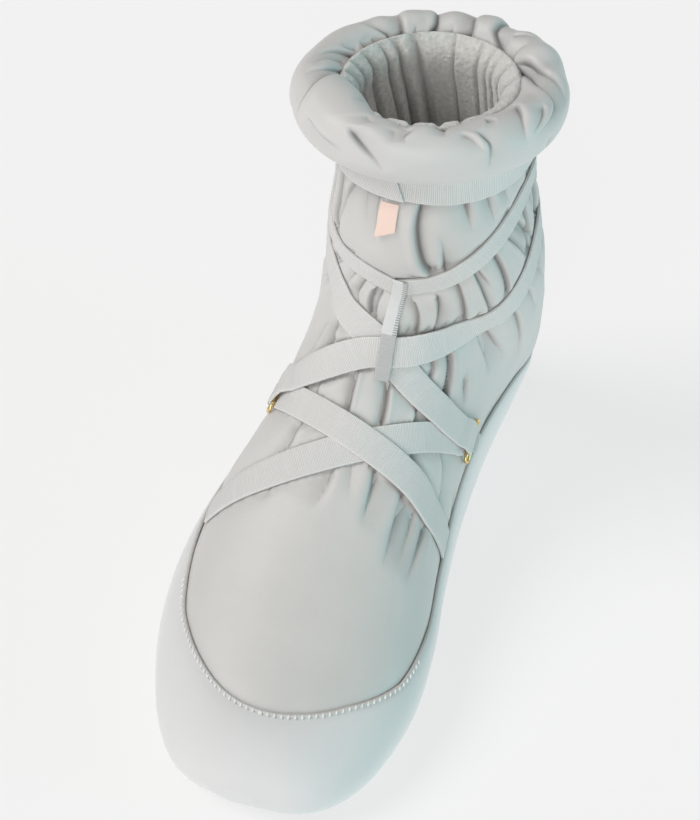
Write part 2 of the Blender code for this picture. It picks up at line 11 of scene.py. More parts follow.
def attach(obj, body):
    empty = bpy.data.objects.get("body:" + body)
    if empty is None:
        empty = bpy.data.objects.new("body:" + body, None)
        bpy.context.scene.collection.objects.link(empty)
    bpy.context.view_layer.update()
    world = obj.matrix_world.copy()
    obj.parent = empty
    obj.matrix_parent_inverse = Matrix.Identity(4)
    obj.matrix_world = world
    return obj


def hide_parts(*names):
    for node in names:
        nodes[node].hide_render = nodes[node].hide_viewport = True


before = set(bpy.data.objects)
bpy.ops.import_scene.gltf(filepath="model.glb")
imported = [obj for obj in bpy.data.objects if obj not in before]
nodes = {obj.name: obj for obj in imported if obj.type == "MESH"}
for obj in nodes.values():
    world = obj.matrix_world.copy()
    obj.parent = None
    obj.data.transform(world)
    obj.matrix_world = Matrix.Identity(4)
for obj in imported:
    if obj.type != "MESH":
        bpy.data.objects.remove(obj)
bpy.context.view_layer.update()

mm = 0.001
mergeWithin, cutWithin = 2e-6, 2e-5      # metres
chance = random.Random(11)

# the boot's form, the same last and seam as the solids, in millimetres
boot = {
    "shift": np.array((7.3, 1.2, 0.0)),
    "rows": np.array((      # yTop zTop yLow zLow lateral medial belly topPower lowPower
        (-136, 21, -136, 13, -15, 3.0, 0.50, 2.0, 2.2),
        (-132.5, 28, -132.5, 8, -28, 21, 0.46, 2.0, 2.4),
        (-123.5, 35, -123.5, 4, -38.5, 32.5, 0.44, 2.0, 2.6),
        (-107, 42, -107, 1, -49, 41, 0.42, 2.1, 2.8),
        (-79, 53, -79, 0, -59.5, 46.5, 0.38, 2.2, 3.0),
        (-48, 67, -48, 0, -64, 45, 0.32, 2.2, 3.0),
        (-18, 85, -16, 0, -61, 40, 0.28, 2.2, 3.0),
        (8, 106, 24, 0, -51.5, 36.5, 0.30, 2.2, 3.0),
        (22, 124, 72, 0, -46.5, 37, 0.36, 2.2, 2.8),
        (27, 138, 119, 4, -44.5, 41.5, 0.40, 2.2, 2.5),
        (27, 146, 133, 30, -43, 47.5, 0.46, 2.2, 2.3),
        (26, 153, 130, 80, -41, 49, 0.48, 2.1, 2.1),
        (25, 164, 122, 130, -38.5, 46, 0.50, 2.1, 2.1),
        (26, 181.5, 118, 174, -35, 40.5, 0.50, 2.1, 2.1),
        (31, 200, 114, 197, -38, 41, 0.50, 2.1, 2.1),
    )),
    "seam": np.array((      # y lateral medial
        (-135, 39, 39), (-110, 39, 39), (-100, 39.5, 38.3), (-79, 40.3, 34), (-48, 44.5, 32), (-10, 48.5, 36),
        (18, 51.5, 45), (45, 53, 52), (90, 53, 53), (135, 52, 52),
    )),
    "soleThickness": 5.0, "gap": 0.3, "wall": 3.0,
    "toeSpring": (6.0, -95.0, -134.0), "arch": (2.2, -22.0, 64.0), "heelLift": (1.5, 110.0, 122.0),
    "capSpan": 0.3, "endCrowding": 0.55,
}
topRow = len(boot["rows"]) - 1


def between(rows, position):       # a smooth curve through the rows, at many positions
    position = np.atleast_1d(np.asarray(position, float))
    first = np.clip(np.floor(position).astype(int), 0, len(rows) - 2)
    part = (position - first)[:, None]
    longer = np.vstack((2 * rows[0] - rows[1], rows, 2 * rows[-1] - rows[-2]))
    a, b, c, d = (longer[first + k] for k in range(4))
    return 0.5 * (2 * b + (c - a) * part + (2 * a - 5 * b + 4 * c - d) * part**2
                  + (3 * b - a - 3 * c + d) * part**3)


def lastPoint(u, v):               # row position, angle: 0 medial, 90 front, 180 lateral, -90 under or back
    u, v = np.broadcast_arrays(np.atleast_1d(np.asarray(u, float)), np.asarray(v, float))
    yTop, zTop, yLow, zLow, lateral, medial, belly, topPower, lowPower = between(boot["rows"], u).T
    across, up = np.cos(np.radians(v)), np.sin(np.radians(v))
    power = 2 / np.where(up > 0, topPower, lowPower)
    reach = belly + np.where(up > 0, 1 - belly, belly) * np.sign(up) * np.abs(up) ** power
    side = np.sign(across) * np.abs(across) ** power
    x = (lateral + medial) / 2 + side * (medial - lateral) / 2
    return np.stack((x, yLow + (yTop - yLow) * reach, zLow + (zTop - zLow) * reach), 1)


def lastNormal(u, v, step=0.02, turn=0.6):
    u = np.atleast_1d(np.asarray(u, float))
    along = lastPoint(np.minimum(u + step, topRow), v) - lastPoint(np.maximum(u - step, 0), v)
    around = lastPoint(u, v + turn) - lastPoint(u, v - turn)
    normal = np.cross(along, around)
    return normal / np.linalg.norm(normal, axis=1, keepdims=True)


def lastOff(u, v, distance):
    distance = np.broadcast_to(np.asarray(distance, float), np.atleast_1d(u).shape)
    return lastPoint(u, v) + lastNormal(u, v) * distance[:, None]


def ramp(low, high, value):        # 0 below low, 1 above high, smooth between
    share = np.clip((np.asarray(value) - low) / (high - low), 0, 1)
    return share * share * (3 - 2 * share)


def soleBottom(y):
    spring, springFrom, springTo = boot["toeSpring"]
    archLift, archFrom, archTo = boot["arch"]
    heelLift, heelFrom, heelTo = boot["heelLift"]
    toe = np.clip((springFrom - y) / (springFrom - springTo), 0, 1.1)
    arch = np.clip((y - archFrom) / (archTo - archFrom), 0, 1)
    heel = np.clip((y - heelFrom) / (heelTo - heelFrom), 0, 1.3)
    return spring * toe**2 + archLift * np.sin(math.pi * arch) ** 2 + heelLift * heel**2


def cutLevel(y):
    return soleBottom(y) + boot["soleThickness"] + boot["gap"]


def seamLevel(y, side):
    return np.interp(y, boot["seam"][:, 0], boot["seam"][:, 1 if side == "lateral" else 2])


def toWorld(points):
    return (np.asarray(points, float) + boot["shift"]) * mm


def distancesAlong(points):        # length of a path up to each of its points
    return np.concatenate(((0,), np.cumsum(np.linalg.norm(np.diff(points, axis=0), axis=1))))


def aboveSeam(points):             # height over the rand's edge, on each point's own side
    x, y, z = points.T
    return z - np.where(x > 0, seamLevel(y, "medial"), seamLevel(y, "lateral"))


def halfTurn(degrees):             # the same angle, between -180 and 180
    return (degrees + 180) % 360 - 180


def clothGrid(columns, rows, shape, merged=True):
    # a flat grid bent into place; shape gets each vertex's share around and along
    work = bmesh.new()
    work.loops.layers.uv.new("UVMap")
    bmesh.ops.create_grid(work, x_segments=columns, y_segments=rows, size=0.5, calc_uvs=True)
    flat = np.array([vert.co[:2] for vert in work.verts]) + 0.5
    points = shape(flat[:, 0], flat[:, 1])
    if isinstance(points, tuple):            # some shapes also give each vertex's painted light and shade, which follows how deep in a fold it lies
        points, paintedShading = points
        layer = work.verts.layers.float.new("paintedShading")
        for vert, depth in zip(work.verts, paintedShading):
            vert[layer] = depth
    for vert, spot in zip(work.verts, toWorld(points)):
        vert.co = spot
    if merged:                           # closes the seam where the grid meets itself
        bmesh.ops.remove_doubles(work, verts=[v for v in work.verts if v.is_boundary], dist=mergeWithin)
    return work


def newPiece(name, work, look, replaces=()):
    bmesh.ops.recalc_face_normals(work, faces=work.faces)
    for face in work.faces:
        face.smooth = True
    mesh = bpy.data.meshes.new(name)
    work.to_mesh(mesh)
    work.free()
    mesh.materials.append(look)
    piece = bpy.data.objects.new(name, mesh)
    bpy.context.scene.collection.objects.link(piece)
    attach(piece, "root")
    if replaces:
        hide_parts(*replaces)
    print("made", name, len(mesh.polygons), "faces")
    return piece


def nodeTree(name):
    return BVHTree.FromPolygons([v.co for v in nodes[name].data.vertices],
                                [p.vertices[:] for p in nodes[name].data.polygons])


def nearness(tree, points, normals, most=0.06):   # millimetres to a solid, along the surface and off it
    beside, off = np.full(len(points), most / mm), np.full(len(points), most / mm)
    for index, (point, normal) in enumerate(zip(points, normals)):
        hit = tree.find_nearest(Vector(point), most)[0]
        if hit:
            gap = (np.array(hit) - point) / mm
            off[index] = gap @ normal
            beside[index] = np.linalg.norm(gap - normal * off[index])
    return beside, off


# materials

def feed(tree, socket, value):     # another node's output, a colour or a number
    if isinstance(value, bpy.types.NodeSocket):
        tree.links.new(value, socket)
    else:
        socket.default_value = (*value, 1) if isinstance(value, tuple) else value


def looks(name, colour, roughness, **sockets):
    look = bpy.data.materials.new(name)
    look.use_nodes = True
    shader = look.node_tree.nodes["Principled BSDF"]
    for socket, value in {"Base Color": colour, "Roughness": roughness, **sockets}.items():
        feed(look.node_tree, shader.inputs[socket], value)
    return look, look.node_tree, shader


def node(tree, kind, inputs=None, **settings):
    made = tree.nodes.new(kind)
    for setting, value in settings.items():
        setattr(made, setting, value)
    for socket, value in (inputs or {}).items():
        feed(tree, made.inputs[socket], value)
    return made


def objectPlace(tree):
    return node(tree, "ShaderNodeTexCoord").outputs["Object"]


def uvPlace(tree):
    return node(tree, "ShaderNodeUVMap", uv_map="UVMap").outputs["UV"]


def paintedShadingPlace(tree):             # the painted light and shade that clothGrid stores, telling folds from what stands out
    return node(tree, "ShaderNodeAttribute", attribute_name="paintedShading").outputs["Fac"]


def noiseTexture(tree, place, scale, detail, rough=0.5):
    inputs = {"Vector": place, "Scale": scale, "Detail": detail, "Roughness": rough}
    return node(tree, "ShaderNodeTexNoise", inputs).outputs["Fac"]


def mixColours(tree, factor, first, second):
    return node(tree, "ShaderNodeMix", {0: factor, 6: first, 7: second}, data_type="RGBA").outputs[2]


def maths(tree, operation, *values):
    return node(tree, "ShaderNodeMath", dict(enumerate(values)), operation=operation).outputs[0]


def mapped(tree, value, **limits):       # limits such as toMin, for the socket To Min
    names = {"toMin": "To Min", "toMax": "To Max", "fromMin": "From Min", "fromMax": "From Max"}
    inputs = {names[limit]: number for limit, number in limits.items()}
    return node(tree, "ShaderNodeMapRange", {"Value": value, **inputs}).outputs[0]


def tinted(tree, colour, tints):         # each tint: how much, the share of that, the colour laid over
    for amount, share, tint in tints:
        colour = mixColours(tree, maths(tree, "MULTIPLY", amount, share), colour, tint)
    return colour


def scaled(colour, factor):
    return tuple(min(1, part * factor) for part in colour)


def bumps(tree, shader, layers):         # each layer: height socket, strength, distance
    normal = None
    for height, strength, distance in layers:
        made = node(tree, "ShaderNodeBump", {"Strength": strength, "Distance": distance, "Height": height})
        if normal:
            feed(tree, made.inputs["Normal"], normal)
        normal = made.outputs["Normal"]
    feed(tree, shader.inputs["Normal"], normal)


nylon = {
    "toneScale": 38, "crinkleScale": 240, "crinkleRough": 0.55, "sheenRough": 0.4, "dull": (-0.06, 0.08),
    "paintedShadeShare": 0.92, "paintedShadeDark": 0.20, "fleckShare": 0.16, "fleckDark": 0.72,
    "crinkleBump": (0.10, 0.0012), "fleckBump": (0.12, 0.00012),
}


def shellCloth(name, colour, shade, roughness, weave=3200, sheen=0.25):
    # close-woven nylon: fine plain weave, faint crinkle, slight change of tone, painted shade inside its folds and
    # along strap edges
    sheens = {"Sheen Weight": sheen, "Sheen Roughness": nylon["sheenRough"]}
    look, tree, shader = looks(name, colour, roughness, **sheens)
    place = objectPlace(tree)
    tone, fleck = noiseTexture(tree, place, nylon["toneScale"], 3), noiseTexture(tree, place, weave, 1)
    crinkle = noiseTexture(tree, place, nylon["crinkleScale"], 4, nylon["crinkleRough"])
    # painted shade: the colour is darkened where the mesh's painted shading is high, in folds and beside straps
    tints = ((paintedShadingPlace(tree), nylon["paintedShadeShare"], scaled(colour, nylon["paintedShadeDark"])),
             (fleck, nylon["fleckShare"], scaled(colour, nylon["fleckDark"])))
    feed(tree, shader.inputs["Base Color"], tinted(tree, mixColours(tree, tone, shade, colour), tints))
    low, high = (roughness + change for change in nylon["dull"])
    feed(tree, shader.inputs["Roughness"], mapped(tree, tone, toMin=low, toMax=high))
    bumps(tree, shader, ((crinkle, *nylon["crinkleBump"]), (fleck, *nylon["fleckBump"])))
    return look


elastic = {
    "roughness": 0.62, "sheen": (0.2, 0.5), "driftScale": 0.9, "drift": 0.5, "warpLow": 0.62,
    "mottleScale": 0.25, "mottleShare": 0.22, "rimShare": 0.22, "rimPale": 1.12,
    "ladderShare": 0.55, "ladderPale": 1.5, "rungEvery": 1.1, "rungGap": -0.2, "rungFrom": 0.74,
    "rungShare": 0.6, "rungDark": 0.25, "weaveBump": (0.5, 0.00025), "mottleBump": (0.1, 0.0004),
}


def ribbedElastic(name, colour, shade, pitch, rows, edge, ladder=0.0):
    # woven elastic: ribs across it, warp rows along it, a firm edge, paler partly as selvedge and partly as painted
    # highlight; UV is millimetres along, share across
    sheens = dict(zip(("Sheen Weight", "Sheen Roughness"), elastic["sheen"]))
    look, tree, shader = looks(name, colour, elastic["roughness"], **sheens)
    place = uvPlace(tree)
    along, across = node(tree, "ShaderNodeSeparateXYZ", {"Vector": place}).outputs[:2]
    drift = noiseTexture(tree, place, elastic["driftScale"], 2)
    mottle = noiseTexture(tree, place, elastic["mottleScale"], 3)

    def wave(value, turns):
        return maths(tree, "SINE", maths(tree, "MULTIPLY", value, 2 * math.pi * turns))

    shaken = maths(tree, "ADD", along, maths(tree, "MULTIPLY", drift, elastic["drift"]))
    rib = maths(tree, "MULTIPLY_ADD", wave(shaken, 1 / pitch), 0.5, 0.5)
    warp = maths(tree, "MULTIPLY_ADD", wave(across, rows), 0.5, 0.5)
    weave = maths(tree, "MULTIPLY", rib, mapped(tree, warp, toMin=elastic["warpLow"]))
    fromMiddle = maths(tree, "ABSOLUTE", maths(tree, "SUBTRACT", across, 0.5))
    # paler along both edges: the selvedge, with a painted highlight on top
    rim = mapped(tree, fromMiddle, fromMin=0.5 - edge, fromMax=0.5 - 0.4 * edge)
    tints = [(mottle, elastic["mottleShare"], shade), (rim, elastic["rimShare"], scaled(colour, elastic["rimPale"]))]
    if ladder:                         # the first stretch is paler, with dark rungs of stitches down one edge
        first = maths(tree, "LESS_THAN", along, ladder)
        rung = maths(tree, "GREATER_THAN", wave(along, 1 / elastic["rungEvery"]), elastic["rungGap"])
        rung = maths(tree, "MULTIPLY", rung, maths(tree, "GREATER_THAN", across, elastic["rungFrom"]))
        rung = maths(tree, "MULTIPLY", rung, first)
        tints += [(first, elastic["ladderShare"], scaled(colour, elastic["ladderPale"])),
                  (rung, elastic["rungShare"], scaled(colour, elastic["rungDark"]))]
    feed(tree, shader.inputs["Base Color"], tinted(tree, mixColours(tree, weave, shade, colour), tints))
    bumps(tree, shader, ((weave, *elastic["weaveBump"]), (mottle, *elastic["mottleBump"])))
    return look


# between and onPleat turn the mesh's painted shading into painted light and shade on the fleece
nap = {
    "clumpScale": 460, "clumpRough": 0.7, "hairScale": 2400, "tuftScale": 700, "between": 0.4, "onPleat": 1.3,
    "hairShare": 0.25, "clumpBump": (0.55, 0.0012), "tuftBump": (0.35, 0.0007), "hairBump": (0.3, 0.0003),
}


def fleeceLook(name, colour, shade):
    # brushed fleece: clumped nap, soft sheen, no gloss; painted shade in pleat valleys and on the rim, painted light
    # deeper inside, from the mesh's painted shading
    sheens = {"Sheen Weight": 1.0, "Sheen Roughness": 0.6, "Specular IOR Level": 0.1}
    look, tree, shader = looks(name, colour, 0.95, **sheens)
    place = objectPlace(tree)
    clump = noiseTexture(tree, place, nap["clumpScale"], 3, nap["clumpRough"])
    hair = noiseTexture(tree, place, nap["hairScale"], 2)
    tuft = node(tree, "ShaderNodeTexVoronoi", {"Vector": place, "Scale": nap["tuftScale"]}).outputs["Distance"]
    # painted light and shade: the nap's colour is scaled by the mesh's painted shading
    paintedLight = maths(tree, "MULTIPLY_ADD", paintedShadingPlace(tree), nap["onPleat"], nap["between"])
    tone = mixColours(tree, maths(tree, "MULTIPLY", clump, paintedLight), shade, colour)
    feed(tree, shader.inputs["Base Color"], tinted(tree, tone, ((hair, nap["hairShare"], shade),)))
    bumps(tree, shader, ((clump, *nap["clumpBump"]), (tuft, *nap["tuftBump"]), (hair, *nap["hairBump"])))
    return look


def goldWire():
    look, tree, shader = looks("goldWire", (0.83, 0.60, 0.25), 0.22, Metallic=1.0)
    wear = noiseTexture(tree, objectPlace(tree), 900, 3)
    feed(tree, shader.inputs["Base Color"], mixColours(tree, wear, (0.80, 0.55, 0.20), (0.90, 0.70, 0.36)))
    feed(tree, shader.inputs["Roughness"], mapped(tree, wear, toMin=0.16, toMax=0.34))
    return look


def peachSatin():
    look, tree, shader = looks("peachSatin", (0.86, 0.70, 0.62), 0.32, **{"Sheen Weight": 0.3})
    streaks = {"Vector": uvPlace(tree), "Scale": 6, "Distortion": 1.5}
    streak = node(tree, "ShaderNodeTexWave", streaks).outputs["Fac"]
    feed(tree, shader.inputs["Base Color"], mixColours(tree, streak, (0.80, 0.58, 0.49), (0.87, 0.70, 0.62)))
    bumps(tree, shader, ((streak, 0.15, 0.0002),))
    return look


def soleRubber():
    look, tree, shader = looks("soleRubber", (0.46, 0.465, 0.455), 0.8)
    place = objectPlace(tree)
    pebble = node(tree, "ShaderNodeTexVoronoi", {"Vector": place, "Scale": 420}).outputs["Distance"]
    grime = noiseTexture(tree, place, 40, 4)
    feed(tree, shader.inputs["Base Color"], mixColours(tree, grime, (0.40, 0.405, 0.40), (0.52, 0.525, 0.515)))
    bumps(tree, shader, ((pebble, 0.6, 0.0008), (grime, 0.15, 0.0006)))
    return look


greys = {
    "shell": ((0.625, 0.615, 0.595), (0.575, 0.567, 0.55)),
    "rand": ((0.70, 0.702, 0.70), (0.655, 0.658, 0.656)),
    "collar": ((0.64, 0.63, 0.615), (0.59, 0.582, 0.568)),
    "elastic": ((0.79, 0.78, 0.762), (0.54, 0.537, 0.525)),
    "thread": ((0.90, 0.895, 0.885), (0.84, 0.835, 0.825)),
    "tape": ((0.56, 0.565, 0.56), (0.42, 0.425, 0.42)),
    "fleece": ((0.95, 0.94, 0.90), (0.44, 0.435, 0.41)),
}
clothShell = shellCloth("shellNylon", *greys["shell"], 0.46)
clothCollar = shellCloth("collarNylon", *greys["collar"], 0.44)
clothRand = shellCloth("randMicrofibre", *greys["rand"], 0.66, weave=2200, sheen=1.0)
webWide = ribbedElastic("crossElastic", *greys["elastic"], 0.68, 17, 0.06)
webNarrow = ribbedElastic("ankleElastic", *greys["elastic"], 0.68, 11, 0.08)
webBand = ribbedElastic("bandElastic", *greys["elastic"], 0.8, 12, 0.07)
webTape = ribbedElastic("tabTape", *greys["tape"], 0.7, 6, 0.14)
webKeeper = ribbedElastic("keeperTape", *greys["tape"], 0.7, 6, 0.14, ladder=27.0)
clothThread = shellCloth("seamThread", *greys["thread"], 0.6)
fleece = fleeceLook("liningFleece", *greys["fleece"])


# shell: the padded upper, pinched by the straps and gathered into folds

shell = {
    "columns": 420,
    "rowRuns": ((0, 3, 16), (3, 5, 18), (5, 9, 76), (9, 13.3, 100), (13.3, 14, 14)),   # from row, to row, rings
    "innerRings": 10,
    "seenSpan": (-15.0, 185.0), "seenColumns": 0.7,          # angles that get most of the columns
    "innerFrom": 0.65, "deepest": -2.3, "crumple": 0.22, "crumpleScales": (55, 130), "crumpleFine": 0.5,
    "foldScale": 1.3, "foldLap": 0.6, "foldWidens": 0.8, "foldFade": 0.9,
    "puff": np.array((      # row, height in mm, reach in mm of the padding between straps
        (0, 0.8, 14), (3, 1.2, 16), (5, 1.6, 16), (6.5, 2.2, 10), (8, 2.8, 9), (10, 3.0, 9),
        (12, 3.4, 11), (13.4, 3.2, 10), (14, 1.2, 8),
    )),
    "puffPower": 0.7, "puffAtSides": 0.35,
    "seamReach": 9.0, "seamEdge": 0.6, "seamLoose": (0.5, 4), "seamFree": (-0.2, 1.2),
    "strapEdge": 0.35, "strapLoose": 0.9, "strapClear": 0.45, "strapSlope": 4,
    # strapShade, strapShadeReach, shadeDepth and shadeMost set the painted shade along strap edges and in folds
    "strapShade": 0.32, "strapShadeReach": 0.6, "shadeDepth": 9, "shadeMost": 0.3, "farAway": 60.0,
}
foldForm = {   # the trough of a fold and the painted shade line at its bottom: paintedShade (the line's least width) and darkDepth in mm, the other lengths in widths of the fold
    "steep": 0.4, "easy": 1.9, "even": 0.8, "power": 1.1, "lapAt": 1.4, "reach": 10,
    "paintedShade": 0.1, "shadeLinePerDepth": 0.28, "shadeLinePower": 1.5, "darkDepth": 2.4,
}
# folds: path of (row, angle) from the tied end outwards, width, depth, lean to one side, tied at both ends
shellFolds = (
    (((13.6, 79), (13.1, 81), (12.65, 81), (12.0, 79), (11.55, 76)), 1.9, 3.0, -0.35, True),
    (((11.4, 68), (11.8, 68), (12.3, 68), (12.6, 68), (12.85, 71)), 1.8, 2.8, 0.3, False),
    (((11.6, 74), (12.05, 72)), 1.5, 1.5, 0.0, False),
    (((13.65, 54), (13.05, 52), (12.8, 51)), 1.6, 2.6, 0.3, False),
    (((13.65, 40), (12.75, 36)), 2.0, 2.2, 0.3, False),
    (((13.6, 29), (13.05, 25)), 1.9, 1.9, 0.2, False),
    (((13.6, 104), (12.9, 104), (12.2, 103)), 2.4, 1.8, 0.3, False),
    (((13.3, 124), (12.45, 134)), 2.0, 1.8, -0.2, False),
    (((13.5, 114), (12.5, 109)), 3.0, 1.2, 0.0, False),
    (((12.8, 22), (12.2, 12)), 1.8, 1.8, 0.2, False),
    (((11.0, 84), (11.5, 86)), 1.5, 1.2, 0.0, False),
    (((12.0, 50), (12.5, 47)), 1.6, 1.1, 0.0, False),
    # ruffle between the ankle strap and the cross strap
    (((11.4, 119), (10.2, 138)), 1.4, 1.8, 0.2, True),
    (((10.8, 114), (9.4, 115)), 1.3, 2.0, 0.2, False),
    (((10.0, 106), (9.0, 105), (8.3, 103)), 1.2, 2.0, 0.2, True),
    (((9.5, 98), (8.55, 96), (8.05, 93)), 1.1, 1.9, -0.2, True),
    (((9.4, 94), (8.55, 93), (7.95, 90)), 1.0, 1.8, 0.2, True),
    (((9.4, 80), (8.8, 74), (8.2, 70)), 1.2, 2.0, 0.2, True),
    (((10.1, 72), (9.15, 66), (8.4, 62)), 1.2, 2.1, -0.2, True),
    (((11.1, 62), (10.05, 58), (9.3, 52)), 1.3, 2.2, 0.2, True),
    (((11.6, 52), (10.9, 49), (10.2, 44)), 1.3, 2.1, -0.2, True),
    (((11.75, 50), (11.25, 45)), 1.2, 1.8, 0.2, False),
    (((12.15, 38), (11.6, 35), (11.0, 33)), 1.4, 2.3, 0.2, True),
    (((12.4, 27), (11.95, 17)), 1.5, 2.0, -0.2, True),
    (((12.55, 17), (12.2, 6)), 1.5, 2.0, 0.2, True),
    # small pinches along the cross strap's upper edge
    (((8.0, 86), (8.45, 87)), 0.9, 1.2, 0.0, False),
    (((8.0, 80), (8.4, 81)), 0.9, 1.2, 0.0, False),
    (((8.1, 75), (8.5, 76)), 0.9, 1.2, 0.0, False),
    (((8.3, 66), (8.7, 67)), 0.9, 1.3, 0.0, False),
    (((8.6, 58), (9.1, 60)), 1.0, 1.3, 0.0, False),
    (((9.0, 55), (9.5, 56)), 1.0, 1.3, 0.0, False),
    (((9.7, 48), (10.3, 50)), 1.0, 1.3, 0.0, False),
    # long pleats down the instep
    (((7.3, 92), (6.8, 90), (6.4, 89)), 1.4, 2.4, 0.45, True),
    (((7.35, 77), (6.9, 74), (6.5, 72)), 1.4, 2.4, 0.45, True),
    (((7.25, 58), (7.05, 57), (6.8, 56)), 1.6, 2.6, -0.4, True),
    (((8.4, 51), (7.85, 45), (7.5, 42)), 1.4, 2.5, 0.4, True),
    (((8.1, 35), (7.75, 29)), 1.6, 1.8, 0.3, False),
    (((6.5, 107), (6.3, 109), (6.1, 110), (5.9, 118)), 2.0, 2.8, 0.3, False),
    (((7.1, 110), (6.7, 107)), 1.3, 1.5, 0.2, True),
    (((6.6, 54), (6.4, 52), (6.3, 48)), 1.7, 2.4, -0.3, True),
    (((6.95, 35), (6.6, 29), (6.3, 25)), 1.6, 2.4, -0.3, True),
    (((8.1, 58), (7.7, 55)), 1.3, 1.7, 0.2, True),
    (((8.0, 112), (7.75, 111), (7.55, 109)), 1.8, 4.4, 0.2, True),
    (((7.9, 121), (7.5, 126)), 2.0, 1.6, 0.2, False),
    # pleats that fade on to the toe
    (((6.15, 81), (5.65, 78)), 2.4, 1.0, 0.0, False),
    (((6.05, 87), (5.7, 88), (5.4, 90)), 2.2, 1.9, 0.3, False),
    (((6.15, 69), (5.8, 69), (5.4, 70)), 1.9, 2.5, -0.35, False),
    (((6.05, 52), (5.6, 54), (5.1, 56)), 2.0, 2.4, -0.35, False),
    (((6.15, 42), (5.7, 44), (5.2, 48)), 2.0, 1.7, 0.3, False),
    (((6.1, 32), (5.45, 38), (5.1, 42)), 2.0, 2.1, 0.3, False),
    (((5.7, 109), (5.4, 112)), 1.8, 1.5, 0.2, False),
    (((5.6, 122), (5.4, 126)), 1.8, 1.0, 0.2, False),
    # medial quarter under the strap
    (((9.4, 40), (9.2, 30), (9.1, 18)), 2.0, 2.1, 0.3, False),
    (((9.0, 39), (8.6, 23)), 2.0, 2.1, -0.3, False),
    (((10.5, 28), (9.9, 16), (9.3, 5)), 2.3, 2.1, 0.2, False),
    (((8.9, -6), (8.4, 0), (7.9, 7)), 2.2, 2.2, 0.2, False),
    (((6.75, 10), (6.95, 16)), 1.8, 1.5, 0.0, False),
    (((11.2, 18), (10.6, 6)), 2.2, 1.8, 0.2, False),
    (((11.7, 8), (11.2, -8)), 2.2, 1.8, 0.2, False),
)


gathers = {
    "angles": (-228, 14, 9), "stray": (-2.5, 2.5), "leans": (-0.25, 0.25), "bandRow": 13.6, "lowReach": (0.7, 1.5),
    # angle added at the top, stray at the foot, width, depth
    "upper": (0, (-3, 3), (1.6, 2.2), 1.7), "middle": (3, (0, 4), (1.4, 1.9), 1.8),
    "lower": (2, (-5, 5), (2.0, 2.6), 1.9),
}


def rowOnStrap(route, angle):
    rows, angles = np.array(route[::-1]).T
    return np.interp(angle, angles, rows)


def hiddenFold(group, turn, top, foot, lean, tied):
    added, stray, wide, depth = gathers[group]
    end = (foot, turn + chance.uniform(*stray))
    return ((top, turn + added), end), chance.uniform(*wide), depth, lean, tied


def hiddenFolds():                 # plainer gathers round the side and back that the camera never shows
    folds = []
    for angle in range(*gathers["angles"]):
        turn = angle + chance.uniform(*gathers["stray"])
        ankle, cross = rowOnStrap(straps["ankle"], turn), rowOnStrap(straps["roundAnkle"], turn)
        lean = chance.choice(gathers["leans"])
        folds.append(hiddenFold("upper", turn, gathers["bandRow"], ankle, lean, True))
        folds.append(hiddenFold("middle", turn, ankle, cross, -lean, True))
        if angle % 2:
            low = cross - chance.uniform(*gathers["lowReach"])
            folds.append(hiddenFold("lower", turn, cross, low, lean, False))
    return folds


def nearPath(x, y, spots, reach):  # which points lie near a path, with their distance, side and share along it
    far = np.abs(spots).max(0) + reach
    near = np.where((np.abs(x) < far[0]) & (np.abs(y) < far[1]))[0]
    here, starts = np.stack((x[near], y[near]), 1), distancesAlong(spots)
    best, side, share = np.full(len(here), 1e9), np.zeros(len(here)), np.zeros(len(here))
    for start, length, first, second in zip(starts, np.diff(starts), spots, spots[1:]):
        line = second - first
        part = np.clip((here - first) @ line / (line @ line), 0, 1)
        offset = here - first - part[:, None] * line
        gap = np.linalg.norm(offset, axis=1)
        closer = gap < best
        best[closer] = gap[closer]
        side[closer] = np.sign(line[0] * offset[:, 1] - line[1] * offset[:, 0])[closer]
        share[closer] = ((start + part * length) / starts[-1])[closer]
    return near, best, side, share


def creaseForm(best, side, wide, lean, lift):  # a sharp trough, steep under the lap on one side and easy on the other
    easy = np.where(side * lean > 0, foldForm["steep"], foldForm["easy"]) if lean else foldForm["even"]
    trough = np.exp(-(best / (easy * wide)) ** foldForm["power"])
    lap = np.exp(-((best - foldForm["lapAt"] * wide) / wide) ** 2) * lift * np.clip(lean * side, 0, None)
    return lap - trough


def creaseShadeLine(best, depth):       # painted shade: the dark line at the bottom of a fold, where shade falls
    wide = foldForm["paintedShade"] + foldForm["shadeLinePerDepth"] * depth + 1e-3
    return np.exp(-(best / wide) ** foldForm["shadeLinePower"]) * np.clip(depth / foldForm["darkDepth"], 0, 1)


def foldHeight(u, v, height, paintedShade, fold):
    path, width, depth, lean, tied = fold
    path = between(np.array(path, float), np.linspace(0, len(path) - 1, 3 * len(path) - 2))
    midU, midV = path.mean(0)
    rowStep, turnStep = 0.1, 1
    perRow = np.linalg.norm(lastPoint(midU + rowStep, midV) - lastPoint(midU - rowStep, midV)) / (2 * rowStep)
    perTurn = np.linalg.norm(lastPoint(midU, midV + turnStep) - lastPoint(midU, midV - turnStep)) / (2 * turnStep)
    spots = (path - (midU, midV)) * (perRow, perTurn)
    x, y = (u - midU) * perRow, halfTurn(v - midV) * perTurn
    near, best, side, share = nearPath(x, y, spots, foldForm["reach"] * width)
    wide = width * (1 if tied else 1 + shell["foldWidens"] * share)
    strength = 1 if tied else np.cos(share * math.pi / 2) ** shell["foldFade"]
    height[near] += depth * strength * creaseForm(best, side, wide, lean, shell["foldLap"])
    # painted shade line along the bottom of the fold
    paintedShade[near] = np.maximum(paintedShade[near], creaseShadeLine(best, depth * strength))


def unevenness(points, scales, share):   # a large and a small noise at each point
    large, small = scales
    return np.array([noise.noise(Vector(p) * large) + share * noise.noise(Vector(p) * small) for p in points])


def rounded(share):                # a quarter circle's rise
    return np.maximum(1 - (1 - np.clip(share, 0, 1)) ** 2, 0)


